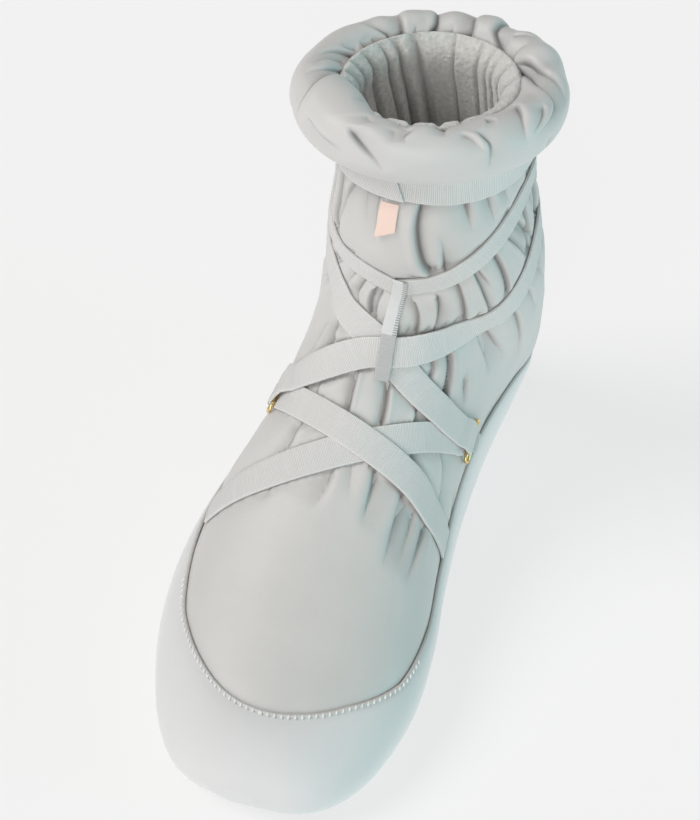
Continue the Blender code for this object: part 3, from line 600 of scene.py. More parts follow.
def shellHeights(u, v):
    base, normals = toWorld(lastPoint(u, v)), lastNormal(u, v)
    strap = cap = np.full(len(u), shell["farAway"])
    for name in ("cross_strap", "ankle_strap", "top_band"):
        beside, off = nearness(nodeTree(name), base, normals)
        strap = np.minimum(strap, beside)
        slope = np.clip(beside - shell["strapEdge"], 0, None) * shell["strapSlope"]
        cap = np.minimum(cap, slope + np.maximum(off - shell["strapClear"], 0))
    seamGap = np.hypot(*nearness(nodeTree("mudguard"), base, normals))
    free = ramp(*shell["seamFree"], aboveSeam(base / mm - boot["shift"]))
    puffRow, puffTall, puffReach = shell["puff"].T
    atSides = shell["puffAtSides"]
    tall = np.interp(u, puffRow, puffTall) * (atSides + (1 - atSides) * np.abs(np.sin(np.radians(v))))
    swell = rounded((strap - shell["strapEdge"]) / np.interp(u, puffRow, puffReach)) ** shell["puffPower"]
    hem = np.sqrt(rounded((seamGap - shell["seamEdge"]) / shell["seamReach"]))
    folds, paintedShade = np.zeros(len(u)), np.zeros(len(u))
    for fold in shellFolds + tuple(hiddenFolds()):
        foldHeight(u, v, folds, paintedShade, fold)
    loose = ramp(0, shell["strapLoose"], strap)
    drawn = shell["foldScale"] * folds * loose * ramp(*shell["seamLoose"], seamGap)
    crumple = shell["crumple"] * unevenness(base, shell["crumpleScales"], shell["crumpleFine"]) * loose
    height = tall * swell * hem + drawn + crumple
    # painted shade: darker deeper in each fold, and a thin dark line along each strap's edge where the strap shades the
    # shell
    paintedShade = np.maximum(paintedShade, np.clip(-folds / shell["shadeDepth"], 0, shell["shadeMost"]))
    paintedShade = np.maximum(paintedShade, shell["strapShade"] * np.exp(-(strap / shell["strapShadeReach"]) ** 2))
    return np.minimum(np.maximum(height, shell["deepest"]), cap) * free, paintedShade * free


def liftBy(work, share):           # raises or lowers every vertex by a share of the sole's top
    for vert in work.verts:
        vert.co.z += share * float(cutLevel(vert.co.y / mm - boot["shift"][1])) * mm


def makeShell():
    runs = shell["rowRuns"]
    outer = np.concatenate([np.linspace(a, b, n, endpoint=False) for a, b, n in runs] + [(topRow,)])
    rows = np.concatenate((outer, np.linspace(topRow, shell["innerFrom"], shell["innerRings"])))

    def shape(around, along):
        index = np.clip(np.round(along * (len(rows) - 1)).astype(int), 0, len(rows) - 1)
        (first, last), most = shell["seenSpan"], shell["seenColumns"]
        u, v = rows[index], np.interp(around, (0, most, 1), (first, last, first + 360))
        outside = index < len(outer)
        height, paintedShading = np.full(len(u), -boot["wall"]), np.zeros(len(u))
        height[outside], paintedShading[outside] = shellHeights(u[outside], v[outside])
        return lastOff(u, v, height), paintedShading

    work = clothGrid(shell["columns"], len(rows) - 1, shape)
    bmesh.ops.holes_fill(work, edges=[e for e in work.edges if e.is_boundary])
    liftBy(work, -1)                     # so that one flat cut follows the sole
    bmesh.ops.bisect_plane(work, geom=work.verts[:] + work.edges[:] + work.faces[:], plane_co=(0, 0, 0),
                           plane_no=(0, 0, 1), clear_inner=True, dist=cutWithin)
    liftBy(work, 1)
    bmesh.ops.bridge_loops(work, edges=[e for e in work.edges if e.is_boundary])
    newPiece("paddedShell", work, clothShell, ("upper",))


# rand: the soft band between sole and seam

rand = {
    "stations": 150, "rings": 64,
    "section": np.array((   # share of height, distance from the shell
        (0.00, 0.60), (0.12, 0.75), (0.27, 0.85), (0.50, 0.95), (0.77, 0.60), (0.97, 0.50), (1.01, 1.00),
        (0.99, 1.75), (0.94, 2.45), (0.85, 2.90), (0.70, 3.10), (0.50, 3.15), (0.30, 3.05), (0.12, 3.00), (0.02, 2.85),
        (-0.01, 1.70), (0.00, 0.60),
    )),
}


def angleOnLevel(u, side, level, distance):
    low, high = np.full(len(u), -90.0), np.full(len(u), 90.0)
    for _ in range(40):
        middle = (low + high) / 2
        spot = lastOff(u, middle if side == "medial" else 180 - middle, distance)
        over = spot[:, 2] > level(spot[:, 1], side)
        low, high = np.where(over, low, middle), np.where(over, middle, high)
    middle = (low + high) / 2
    return middle if side == "medial" else 180 - middle


def crossing(low, high, reached):
    for _ in range(30):
        middle = (low + high) / 2
        low, high = (low, middle) if reached(middle) else (middle, high)
    return (low + high) / 2


def levelLoop(level, stations, solveAt=0.0, distance=0.0):
    # points round the boot at a level: toe to heel on the lateral side, then back on the medial side
    def above(position, angle):
        spot = lastOff(np.array((position,)), np.array((angle,)), solveAt)[0]
        return spot[2] > level(spot[1], "medial")

    if above(0, -90.0):
        toe = crossing(0, 4, lambda position: not above(position, -90.0))
    elif not above(0, 90.0):
        toe = crossing(0, 5, lambda position: above(position, 90.0))
    else:
        toe = -boot["capSpan"]
    heel = crossing(8, 12, lambda position: above(position, -90.0))
    even = np.linspace(0, 1, stations + 1)
    crowded = even - boot["endCrowding"] * np.sin(2 * math.pi * even) / (2 * math.pi)
    sides = []
    for side in ("lateral", "medial"):

        def spots(position):
            row = np.maximum(position, 0)
            edge = lastOff(row, angleOnLevel(row, side, level, solveAt), distance)
            first = boot["rows"][0]
            middle = np.stack((np.full(len(row), (first[4] + first[5]) / 2),
                               np.full(len(row), first[0] - distance), edge[:, 2]), 1)
            return edge + (middle - edge) * (np.maximum(-position, 0) / boot["capSpan"])[:, None]

        positions = toe + (heel - toe) * (1 - np.cos(math.pi * even)) / 2
        rough = spots(positions)
        lengths = distancesAlong(rough)
        sides.append(spots(np.interp(lengths[-1] * crowded, lengths, positions)))
    return np.vstack((sides[0], sides[1][-2::-1]))


def makeRand():
    spread = np.linspace(0, len(rand["section"]) - 1, rand["rings"] + 1)
    loops = []
    for share, distance in between(rand["section"], spread):
        loops.append(levelLoop(lambda y, side: (1 - share) * cutLevel(y) + share * seamLevel(y, side),
                               rand["stations"], distance=distance))
    loops = np.array(loops)

    def shape(around, along):
        level = np.round(along * rand["rings"]).astype(int)
        station = np.round(around * 2 * rand["stations"]).astype(int)
        return loops[level, station]

    work = clothGrid(2 * rand["stations"], rand["rings"], shape)
    newPiece("softRand", work, clothRand, ("mudguard",))


def tube(points, radius, sides=8):       # a round cord along a closed loop of points
    points = np.asarray(points, float)
    along = np.roll(points, -1, 0) - np.roll(points, 1, 0)
    along /= np.linalg.norm(along, axis=1, keepdims=True)
    flat = np.cross(along, (0, 0, 1.0))
    flat /= np.linalg.norm(flat, axis=1, keepdims=True)
    rise = np.cross(flat, along)
    count = len(points)

    def shape(around, along):
        index = np.round(around * count).astype(int) % count
        turn = 2 * math.pi * along
        return points[index] + radius * (flat[index] * np.cos(turn)[:, None] + rise[index] * np.sin(turn)[:, None])

    return clothGrid(count, sides, shape)


seam = {
    "cordRadius": 0.85, "cordAt": (0.5, 1.15), "cordStations": 220,        # level over the seam, distance out
    "stitchTop": (1.15, 1.7), "stitchFoot": (-0.55, 2.65), "stitchStations": 200,
    "stitchEvery": 2.7, "stitchLength": 2.0, "stitchRadius": 0.42, "stitchTo": -62.0,
}


def seamLine(place, stations):
    rise, distance = place
    return levelLoop(lambda y, side: seamLevel(y, side) + rise, stations, distance=distance)


def makeSeam():
    edge = seamLine(seam["cordAt"], seam["cordStations"])[:-1]
    newPiece("seamCord", tube(edge, seam["cordRadius"]), clothShell)
    lines = [seamLine(seam[end], seam["stitchStations"]) for end in ("stitchTop", "stitchFoot")]
    steps = distancesAlong(lines[0])
    count = np.arange(len(steps))
    work = bmesh.new()
    for far in np.arange(0, steps[-1], seam["stitchEvery"]):
        station = np.interp(far, steps, count)
        top, foot = (np.array([np.interp(station, count, line[:, k]) for k in range(3)]) for line in lines)
        if top[1] > seam["stitchTo"]:
            continue
        made = bmesh.ops.create_icosphere(work, subdivisions=2, radius=seam["stitchRadius"] * mm)["verts"]
        stretch = Matrix.Diagonal((1, 1, seam["stitchLength"] / seam["stitchRadius"] / 2, 1))
        turn = Vector((0, 0, 1)).rotation_difference(Vector(foot - top).normalized()).to_matrix().to_4x4()
        place = Matrix.Translation(Vector(toWorld((top + foot) / 2)))
        bmesh.ops.transform(work, matrix=place @ turn @ stretch, verts=made)
    newPiece("toeStitches", work, clothThread)


# collar: a filled roll, drawn into puffs at its inner edge

collar = {
    "columns": 520, "rings": 136,
    "centre": np.array((-1.0, 69.0, 209.85)), "inner": (33.0, 33.0), "outer": (54.5, 49.5), "halfHeight": 11.3,
    "frontRise": 1.5, "skew": 0.05, "skewTurn": 60.0, "flat": 0.95, "base": -0.4, "deepest": -4.6,
    # shadeLineShare, with shadeDepth and shadeMost below, sets the painted shade in the creases
    "roundness": 0.9, "mmPerDegree": (0.76, 0.21), "creaseShare": 0.68, "shadeLineShare": 0.75, "creaseLap": 0.5,
    "creaseWidens": (0.9, 0.7), "creaseFade": 0.7, "fadeIn": 0.25, "edgeRolls": (-60, 161), "puffedFrom": (-0.75, -0.2),
    "billow": 0.7, "billowScales": (34, 90), "billowFine": 0.35, "shadeDepth": 12, "shadeMost": 0.3,
}
# puffs: turn, roll, spread of each in degrees, height in mm
collarPuffs = (
    (228, 150, 26, 45, 6.4), (208, 90, 15, 45, 1.4), (318, 150, 18, 38, 2.4), (283, 118, 8, 28, 2.4),
    (263, 138, 7, 24, 1.4),
    (94, 95, 8, 70, 1.6), (75, 95, 7, 70, 1.8), (116, 95, 8, 70, 1.4), (134, 90, 6, 60, 1.2), (54, 85, 7, 60, 2.4),
    (40, 80, 8, 60, 3.0), (20, 75, 8, 45, 1.6), (344, 75, 12, 45, 1.6), (158, 80, 12, 50, 1.0),
)
# creases: path of (turn, roll) in degrees, width and depth in mm, lean; roll 180 is the inner edge, 90 the top
collarCreases = (
    (((204, 165), (206, 130), (213, 90), (218, 55), (220, 20), (221, -5)), 2.0, 4.2, 0.35),
    (((190, 160), (202, 108), (205, 63)), 1.4, 2.6, -0.3),
    (((180, 160), (189, 105), (199, 81)), 1.4, 2.6, 0.3),
    (((186, 155), (192, 102)), 1.2, 2.0, 0.3),
    (((168, 163), (174, 135), (181, 99), (189, 81)), 1.5, 3.0, -0.3),
    (((164, 145), (170, 126), (173, 112)), 1.3, 2.2, 0.2),
    (((156, 163), (159, 126)), 1.4, 2.4, 0.2),
    (((136, 168), (137, 138), (140, 120), (143, 95), (146, 60)), 1.7, 3.8, 0.35),
    (((148, 163), (149, 130)), 1.3, 2.0, 0.2),
    (((127, 168), (126, 141), (125, 111), (124, 81), (122, 40)), 1.5, 3.6, -0.35),
    (((119, 155), (116, 123)), 1.2, 1.6, 0.2),
    (((107, 168), (106, 144), (104, 129), (103, 105), (103, 60), (104, 20)), 1.6, 4.4, 0.35),
    (((94, 160), (93, 123)), 1.2, 1.8, -0.2),
    (((82, 172), (82, 129), (84, 81), (83, 20)), 1.6, 4.4, -0.4),
    (((78, 160), (81, 111)), 1.2, 1.7, 0.0),
    (((57, 168), (59, 150), (66, 123), (69, 105), (70, 60), (69, 20)), 1.6, 4.4, 0.35),
    (((59, 105), (54, 88), (49, 69)), 1.4, 2.0, 0.3),
    (((44, 168), (45, 153), (47, 128), (46, 100)), 1.4, 2.6, -0.3),
    (((43, 155), (33, 120), (20, 93), (13, 45), (9, 15)), 1.8, 3.6, 0.35),
    (((38, 165), (24, 132), (12, 108), (4, 66), (358, 42), (345, 28), (337, 18)), 2.0, 4.4, -0.4),
    (((353, 72), (347, 51), (336, 30)), 1.6, 2.6, 0.3),
    (((346, 128), (339, 90), (333, 50), (331, 18)), 1.7, 3.4, 0.35),
    (((319, 116), (325, 102)), 1.5, 2.6, 0.2),
    (((309, 88), (311, 66), (313, 42), (312, 12), (311, -9)), 1.5, 3.4, -0.4),
    (((300, 92), (304, 72), (307, 45), (310, 22)), 1.4, 2.2, 0.35),
    (((297, 150), (294, 112), (292, 80)), 1.9, 2.6, 0.2),
    (((278, 116), (274, 82), (275, 58)), 1.7, 2.6, 0.2),
    (((267, 108), (269, 75), (269, 45)), 2.6, 1.3, 0.0),
    (((250, 114), (257, 94)), 2.2, 1.6, 0.2),
    (((249, 66), (252, 51), (259, 24), (265, 0), (268, -15)), 1.8, 3.6, -0.4),
    (((227, 26), (238, 8), (251, 3)), 1.7, 3.0, 0.3),
    (((239, 150), (237, 120)), 2.2, 1.4, 0.0),
    (((205, -70), (207, -30), (210, 5)), 1.6, 2.6, 0.2), (((176, -70), (175, -20), (178, 45)), 1.6, 3.0, -0.3),
    (((152, -70), (150, -20), (147, 30)), 1.6, 2.8, 0.3), (((129, -70), (130, -30), (128, 5)), 1.5, 2.6, -0.2),
    (((96, -70), (94, -20), (92, 40)), 1.6, 3.0, 0.3), (((56, -70), (57, -30), (54, 10)), 1.5, 2.6, -0.2),
    (((29, -70), (27, -20), (28, 25)), 1.6, 2.8, 0.3), (((352, -70), (350, -30), (351, 0)), 1.5, 2.6, -0.2),
)


def collarPoint(turn, roll, puff=0.0):   # turn from medial towards the back, roll from outside over the top
    turn, roll = np.broadcast_arrays(np.radians(turn), np.radians(roll))
    inner, outer = collar["inner"], collar["outer"]
    skew = 1 + collar["skew"] * np.cos(2 * (turn - math.radians(collar["skewTurn"])))
    cross, rise = np.cos(roll), np.sin(roll)
    low = -collar["flat"] * collar["halfHeight"]
    height = collar["halfHeight"] * np.sign(rise) * np.abs(rise) ** collar["roundness"] + puff * rise
    height = np.where(height < low, low, height) - collar["frontRise"] * np.sin(turn)
    x, y = (skew * ((near + far) / 2 + (far - near) / 2 * cross + puff * cross) for near, far in zip(inner, outer))
    return collar["centre"] + np.stack((x * np.cos(turn), y * np.sin(turn), height), 1)


def creaseDepth(turn, roll, crease, depthTotal, paintedShade):
    path, width, depth, lean = crease
    path = np.array(path, float)
    path[:, 0] = path[0, 0] + halfTurn(path[:, 0] - path[0, 0])
    path = between(path, np.linspace(0, len(path) - 1, 4 * len(path) - 3))
    middle, scale = path.mean(0), collar["mmPerDegree"]
    x, y = (halfTurn(angle - at) * size for angle, at, size in zip((turn, roll), middle, scale))
    near, best, side, share = nearPath(x, y, (path - middle) * scale, foldForm["reach"] * width)
    (under, over), fadeIn, (start, more) = collar["edgeRolls"], collar["fadeIn"], collar["creaseWidens"]
    fromEdge = not under < path[0, 1] < over         # such a crease starts at full depth
    fade = np.cos(share * math.pi / 2) ** collar["creaseFade"] * ramp(0.0, fadeIn, share + fadeIn * fromEdge)
    form = creaseForm(best, side, width * (start + more * share), lean, collar["creaseLap"])
    depthTotal[near] += collar["creaseShare"] * depth * fade * form
    # painted shade line along the crease's bottom
    paintedShade[near] = np.maximum(paintedShade[near], creaseShadeLine(best, collar["shadeLineShare"] * depth * fade))


def makeCollar():
    def shape(around, along):
        turn, roll = around * 360, along * 360
        drawn, paintedShade = np.zeros(len(turn)), np.zeros(len(turn))
        for crease in collarCreases:
            creaseDepth(turn, roll, crease, drawn, paintedShade)
        puff = np.full(len(turn), collar["base"])
        for puffTurn, puffRoll, wide, tall, height in collarPuffs:
            puff += height * np.exp(-(halfTurn(turn - puffTurn) / wide) ** 2 - (halfTurn(roll - puffRoll) / tall) ** 2)
        base = toWorld(collarPoint(turn, roll))
        billow = collar["billow"] * unevenness(base, collar["billowScales"], collar["billowFine"])
        upper = ramp(*collar["puffedFrom"], np.sin(np.radians(roll)))
        points = collarPoint(turn, roll, (np.maximum(drawn, collar["deepest"]) + puff + billow) * upper)
        # painted shade, darker in deeper creases
        shade = np.clip(-drawn / collar["shadeDepth"], 0, collar["shadeMost"])
        return points, np.maximum(paintedShade, shade) * upper

    work = clothGrid(collar["columns"], collar["rings"], shape)
    roll = newPiece("collarRoll", work, clothCollar, ("collar",))


# lining: fleece that hangs in folds from the collar's inner edge down into the boot

lining = {
    "columns": 340, "upRows": 110, "backRows": 24, "thickness": 1.0, "foldHeight": 5.0, "eased": 14,
    "shaftRows": (1.0, 13.0), "rolls": (214, 144), "rollSteps": 32, "slack": 3.5, "slackRows": (9.0, 12.6),
    "frontGap": 0.4, "backGap": 0.35, "driftSteps": 58, "driftMost": 1.2, "sway": 1.2, "swayPerStep": 0.09,
    # paintedLightOnCollar: the share of the fleece's painted light left on the collar's inner side
    "valleyPower": 1.7, "grown": (0.62, 0.95), "calm": 0.6, "mouthSteps": 16, "paintedLightOnCollar": 0.38,
    "nap": 0.28, "napScales": (0.9, 2.1), "napFine": 0.6,
    "valleys": (   # turn at the top and drift down in degrees, half width, share of the fold's height
        (120, -11, 3.6, 1.0), (136, -13, 2.6, 1.0), (149, -14, 1.8, 0.8), (166, -12, 2.6, 0.9), (181, -8, 2.0, 0.8),
        (194, -6, 2.0, 0.8), (89, 1, 1.0, 0.45), (68, 3, 1.2, 0.5), (58, 4, 0.9, 0.5), (50, 4, 1.0, 0.5),
        (39, 3, 1.6, 0.6), (22, 0, 2.2, 0.8), (4, 0, 2.4, 0.8), (346, 0, 2.2, 0.8), (326, 0, 2.6, 0.8),
        (308, 0, 2.2, 0.8), (292, 0, 2.4, 0.8), (274, 0, 2.2, 0.8), (256, 0, 2.6, 0.8), (238, 0, 2.2, 0.8),
        (222, 0, 2.4, 0.8), (208, 0, 2.2, 0.8),
    ),
}


def makeLining():
    up, backRows, columns = (lining[name] for name in ("upRows", "backRows", "columns"))
    rolls = np.linspace(*lining["rolls"], lining["rollSteps"])
    shaft = np.linspace(*lining["shaftRows"], up - len(rolls))
    mouth, near = len(shaft), lining["mouthSteps"]   # the step where the cloth leaves the shaft for the collar

    def wall(turn, step, inset):         # step runs from the toe end up the shaft, then over the collar's inner side
        u, roll = shaft[np.minimum(step, mouth - 1)], rolls[np.clip(step - mouth, 0, len(rolls) - 1)]
        slack = lining["slack"] * ramp(*lining["slackRows"], u)
        low, high = lastOff(u, -turn, -boot["wall"] - inset - slack), collarPoint(turn, roll, inset + collar["base"])
        return np.where((step >= mouth)[:, None], high, low).reshape(-1, up, 3)

    turn, step = (a.ravel() for a in np.meshgrid(np.linspace(0, 360, columns + 1), np.arange(up), indexing="ij"))
    pleat = np.ones(len(turn))
    deep = np.clip((up - 1 - step) / lining["driftSteps"], 0, lining["driftMost"])
    sway = lining["sway"] * np.sin(step * lining["swayPerStep"])
    for valley, drift, wide, share in lining["valleys"]:
        gap = np.abs(halfTurn(turn + sway - valley - drift * deep))
        pleat *= 1 - share * np.exp(-(gap / wide) ** lining["valleyPower"])
    pleats = pleat.reshape(-1, up)
    begin, full = (mouth * share for share in lining["grown"])
    grown = ramp(begin, full, step) * (1 - lining["calm"] * ramp(mouth + near, up - 1, step))
    front = wall(turn, step, lining["frontGap"] + lining["thickness"] + lining["foldHeight"] * pleat * grown)
    for _ in range(lining["eased"]):     # lets the cloth hang straight past the collar's inner edge
        front[:, 1:-1] = (front[:, :-2] + 2 * front[:, 1:-1] + front[:, 2:]) / 4
    back = wall(turn, step, np.full(len(turn), lining["backGap"]))

    def shape(around, along):
        index = np.round(along * (up + backRows)).astype(int) % (up + backRows)
        column, row, seen = np.round(around * columns).astype(int), np.minimum(index, up - 1), index < up
        behind = np.clip(np.round(up - 1 - (index - up) * (up - 1) / (backRows - 1)), 0, up - 1).astype(int)
        points = np.where(seen[:, None], front[column, row], back[column, behind])
        fuzz = lining["nap"] * unevenness(points, lining["napScales"], lining["napFine"]) * seen
        inward = np.stack((np.cos(2 * math.pi * around), np.sin(2 * math.pi * around), np.zeros(len(around))), 1)
        # painted light and shade: darker in the pleat valleys and on the collar's inner side, lighter deep inside the
        # boot where little light reaches
        least = lining["paintedLightOnCollar"]
        paintedLight = pleats[column, row] * (least + (1 - least) * ramp(mouth + near, mouth - near, row))
        return points - inward * fuzz[:, None], paintedLight

    newPiece("fleeceLining", clothGrid(columns, up + backRows, shape), fleece)
    nodes["insole"].data.materials.clear()
    nodes["insole"].data.materials.append(fleece)


# straps: laid on the last along the same routes as the solids

straps = {
    "thickness": 1.2, "tape": 0.8, "ribbon": 0.6, "crossWidth": 13.0, "ankleWidth": 8.0, "bandWidth": 10.0,
    "keeperWidth": 5.6, "ribbonWidth": 7.2, "tabWidth": 9.0, "tabReach": 5.0, "tabSettle": 0.4,
    "step": 1.3, "lanes": 9, "fineSteps": 24, "lookAhead": 3, "joinSteps": 5, "softEdge": 0.28,
    "tuck": -1.2, "bandLap": 26.0, "bandLapRamp": 16.0, "bandSlant": 5.0, "ribbonSlant": 5.0,
    "toLateralRing": ((6.35, -2), (6.22, 30), (6.25, 54), (6.36, 82), (6.57, 106)),
    "roundAnkle": ((7.17, 114), (7.5, 92), (7.9, 70), (8.9, 50), (10.4, 34), (11.5, 14), (12.05, -6), (12.3, -45),
                   (12.3, -90), (12.2, -135), (11.9, -172), (11.4, -200), (10.6, -222), (8.7, -246), (7.75, -274),
                   (7.35, -298), (7.35, -322)),
    "toMedialSeam": ((6.9, 46), (6.43, 70), (6.12, 88), (5.8, 108), (5.57, 136), (5.48, 152)),
    "ankle": ((10.1, 90), (11.2, 72), (12.0, 53), (12.6, 27), (12.95, 2), (13.05, -45), (13.05, -90), (13.0, -135),
              (12.7, -175), (12.1, -204), (11.4, -230), (10.8, -252)),
    "band": tuple((13.7, angle) for angle in range(96, -281, -16)),
    "keeper": ((10.9, 90), (10.1, 89), (9.0, 86), (8.2, 84), (7.7, 82), (7.15, 80)),
    "ribbonRoute": ((13.36, 95.5), (12.95, 96), (12.55, 97)),
    "layersToLateral": ((0, 0), (34, 0), (47, 1), (82, 1), (95, 0)),
    "layersRound": ((0, 1.6), (12, 1), (74, 1), (88, 0)),
    "layersToMedial": ((0, 1.6), (12, 1), (34, 1), (48, 0)),
    "layersKeeper": ((0, 1.1), (9, 1.1), (17, 1.5), (25, 2.1), (44, 2.1)),
    "layersRibbon": ((0, 1.1), (4, 2.2), (16, 3.0)),
}
ring = {
    "wire": 1.5, "bar": 14.6, "spacing": 4.2, "wrapGap": 0.15, "reach": 9.0, "spare": 2.0,
    "lateral": (7.06, 140), "medial": (7.55, 17),
    "sides": 14, "endPoints": 17, "step": 1.2, "flatRows": 8, "wrapRows": 15,
}
core = {   # a line inside the boot; outwards is away from it
    "x": -5, "heights": (20, 90, 200), "shaftY": (60, 70), "lengths": (-132, 20, 60), "footZ": (18, 40),
}


def lastTree():
    sides, steps = 120, topRow * 10
    work = bmesh.new()
    bmesh.ops.create_grid(work, x_segments=sides, y_segments=steps, size=0.5)
    flat = np.array([vert.co[:2] for vert in work.verts]) + 0.5
    for vert, spot in zip(work.verts, lastPoint(flat[:, 1] * topRow, flat[:, 0] * 360)):
        vert.co = spot
    work.normal_update()
    tree = BVHTree.FromBMesh(work)
    work.free()
    return tree


formTree = lastTree()


def onForm(spot):                  # nearest place on the last, with its outward normal
    place, normal, _, _ = formTree.find_nearest(Vector(spot))
    coreY = float(np.interp(place.z, core["heights"], (place.y, *core["shaftY"])))
    coreZ = float(np.interp(place.y, core["lengths"], (*core["footZ"], place.z)))
    outward = Vector((place.x - core["x"], place.y - coreY, place.z - coreZ))
    return place, normal if normal.dot(outward) > 0 else -normal


def layOn(spot, height):
    place, normal = onForm(spot)
    return place + normal * height


def layerHeight(layers, thickness):
    return boot["gap"] + thickness / 2 + layers * (straps["thickness"] + boot["gap"])


def pathThrough(spots):
    spots = np.array([np.array(spot, float) for spot in spots])
    stretches = len(spots) - 1
    fine = between(spots, np.linspace(0, stretches, straps["fineSteps"] * stretches + 1))
    return fine, distancesAlong(fine)


def layStrap(spots, width, thickness, layers, over=False, start=0.0, end=None, slant=0.0):
    # rows of points across a strap between two distances along its route
    fine, lengths = pathThrough(spots)
    end = lengths[-1] if end is None else end
    layerAt, layer = np.array(layers, float).T
    lanes = np.linspace(-1, 1, straps["lanes"]) * (-1 if over else 1)
    count = max(2, round((end - start) / straps["step"]))

    def spotAt(far):
        return np.array([np.interp(far, lengths, fine[:, k]) for k in range(3)])

    rows = []
    for share in np.linspace(0, 1, count + 1):
        row = []
        for lane in lanes:
            far = start + (end - start - slant * (1 + lane) / 2) * share
            place, normal = onForm(spotAt(far))
            along = spotAt(far + straps["lookAhead"]) - spotAt(far - straps["lookAhead"])
            across = normal.cross(Vector(along)).normalized()
            height = layerHeight(np.interp(far, layerAt, layer), thickness)
            row.append(layOn(place + across * width / 2 * lane, height))
        rows.append(row)
    return rows


def joinRows(first, second, steps):
    rows = []
    for share in np.linspace(0, 1, steps + 1)[1:-1]:
        row = []
        for a, b in zip(first, second):
            high = (Vector(a) - onForm(a)[0]).length * (1 - share) + (Vector(b) - onForm(b)[0]).length * share
            row.append(layOn(Vector(a).lerp(Vector(b), share), high))
        rows.append(row)
    return rows


def trimAtSeam(rows):              # each lane runs on just under the rand's edge
    lanes = [np.array([row[k] for row in rows]) for k in range(len(rows[0]))]
    cut = []
    for lane in lanes:
        clear = aboveSeam(lane) - straps["tuck"]
        last = int(np.max(np.where(clear > 0)[0]))
        stop = last + (clear[last] / (clear[last] - clear[last + 1]) if last + 1 < len(lane) else 0)
        where = np.linspace(0, stop, len(rows))
        cut.append(np.stack([np.interp(where, np.arange(len(lane)), lane[:, k]) for k in range(3)], 1))
    return [[Vector(lane[i]) for lane in cut] for i in range(len(rows))]


class WireRing:                    # where a ring lies, and how a strap folds round it
    def __init__(self, spot, lowSpot, highSpot):
        self.place, self.normal = onForm(lastPoint(*spot)[0])
        low = (Vector(lastPoint(*lowSpot)[0]) - self.place).normalized()
        high = (Vector(lastPoint(*highSpot)[0]) - self.place).normalized()
        away = -(low + high)
        self.away = (away - self.normal * away.dot(self.normal)).normalized()
        self.bar = self.normal.cross(self.away)
        self.lean = math.asin((high - low).dot(self.bar) / 2)
        self.height = boot["gap"] + straps["thickness"] + ring["wrapGap"] + ring["wire"] / 2

    def spot(self, along, out, up):
        return self.place + self.bar * along + self.away * out + self.normal * up

    def cleared(self):
        slanted = straps["crossWidth"] / 2 * abs(math.tan(self.lean))
        return ring["reach"] / math.cos(self.lean) + slanted + ring["spare"]

    def landing(self, upper):
        radius = ring["wire"] / 2 + ring["wrapGap"] + straps["thickness"] / 2
        shift = math.tan(self.lean) * math.pi * radius / 2
        return self.spot(shift if upper else -shift, 0, 0)

    def fold(self, width, thickness, barOut=0.0, facing=1, lean=0.0, reach=None, settle=0.0):
        reach = reach or ring["reach"]
        radius = ring["wire"] / 2 + ring["wrapGap"] + thickness / 2
        wrap = math.pi * radius
        before, after = np.linspace(-reach, 0, ring["flatRows"])[:-1], np.linspace(0, reach, ring["flatRows"])[1:]
        turns = np.concatenate((before, np.linspace(0, wrap, ring["wrapRows"]), wrap + after))
        rows = []
        for turn in turns:
            row = []
            for lane in np.linspace(-1, 1, straps["lanes"]):
                along = (turn - wrap / 2) * math.tan(lean) + lane * width / 2 / math.cos(lean)
                if 0 <= turn <= wrap:
                    out = barOut + facing * radius * math.sin(turn / radius)
                    row.append(self.spot(along * facing, out, self.height - radius * math.cos(turn / radius)))
                    continue
                past = -turn if turn < 0 else turn - wrap
                level = self.height - radius if turn < 0 else self.height + radius
                flat = self.spot(along * facing, barOut - facing * past, level)
                share = float(ramp(0, 1, min(past / reach, 1.0)))
                row.append(flat.lerp(layOn(flat, level - settle * share), share))
            rows.append(row)
        return rows


def strapPiece(name, rows, thickness, look, replaces, closed=False):
    table = np.array([[tuple(p) for p in row] for row in rows])
    if closed:
        table = np.concatenate((table, table[:1]))
    middle = table[:, table.shape[1] // 2]
    far = distancesAlong(middle)
    count, lanes = table.shape[0] - 1, table.shape[1] - 1

    def shape(around, along):
        return table[np.round(along * count).astype(int), np.round(around * lanes).astype(int)]

    work = clothGrid(lanes, count, shape, merged=closed)
    layer = work.loops.layers.uv.active
    for face in work.faces:
        for loop in face.loops:
            across, along = loop[layer].uv
            loop[layer].uv = (float(np.interp(along * count, np.arange(count + 1), far)), across)
    piece = newPiece(name, work, look, replaces)
    solid = piece.modifiers.new("thickness", "SOLIDIFY")
    solid.thickness = thickness * mm
    solid.offset = 0
    soft = piece.modifiers.new("edge", "BEVEL")
    soft.width = straps["softEdge"] * mm
    soft.segments = 2
    soft.limit_method = "ANGLE"


def routePoints(route):
    return [lastPoint(*spot)[0] for spot in route]


lateralRing = WireRing(ring["lateral"], straps["toLateralRing"][-1], straps["roundAnkle"][0])
medialRing = WireRing(ring["medial"], straps["toMedialSeam"][0], straps["roundAnkle"][-1])


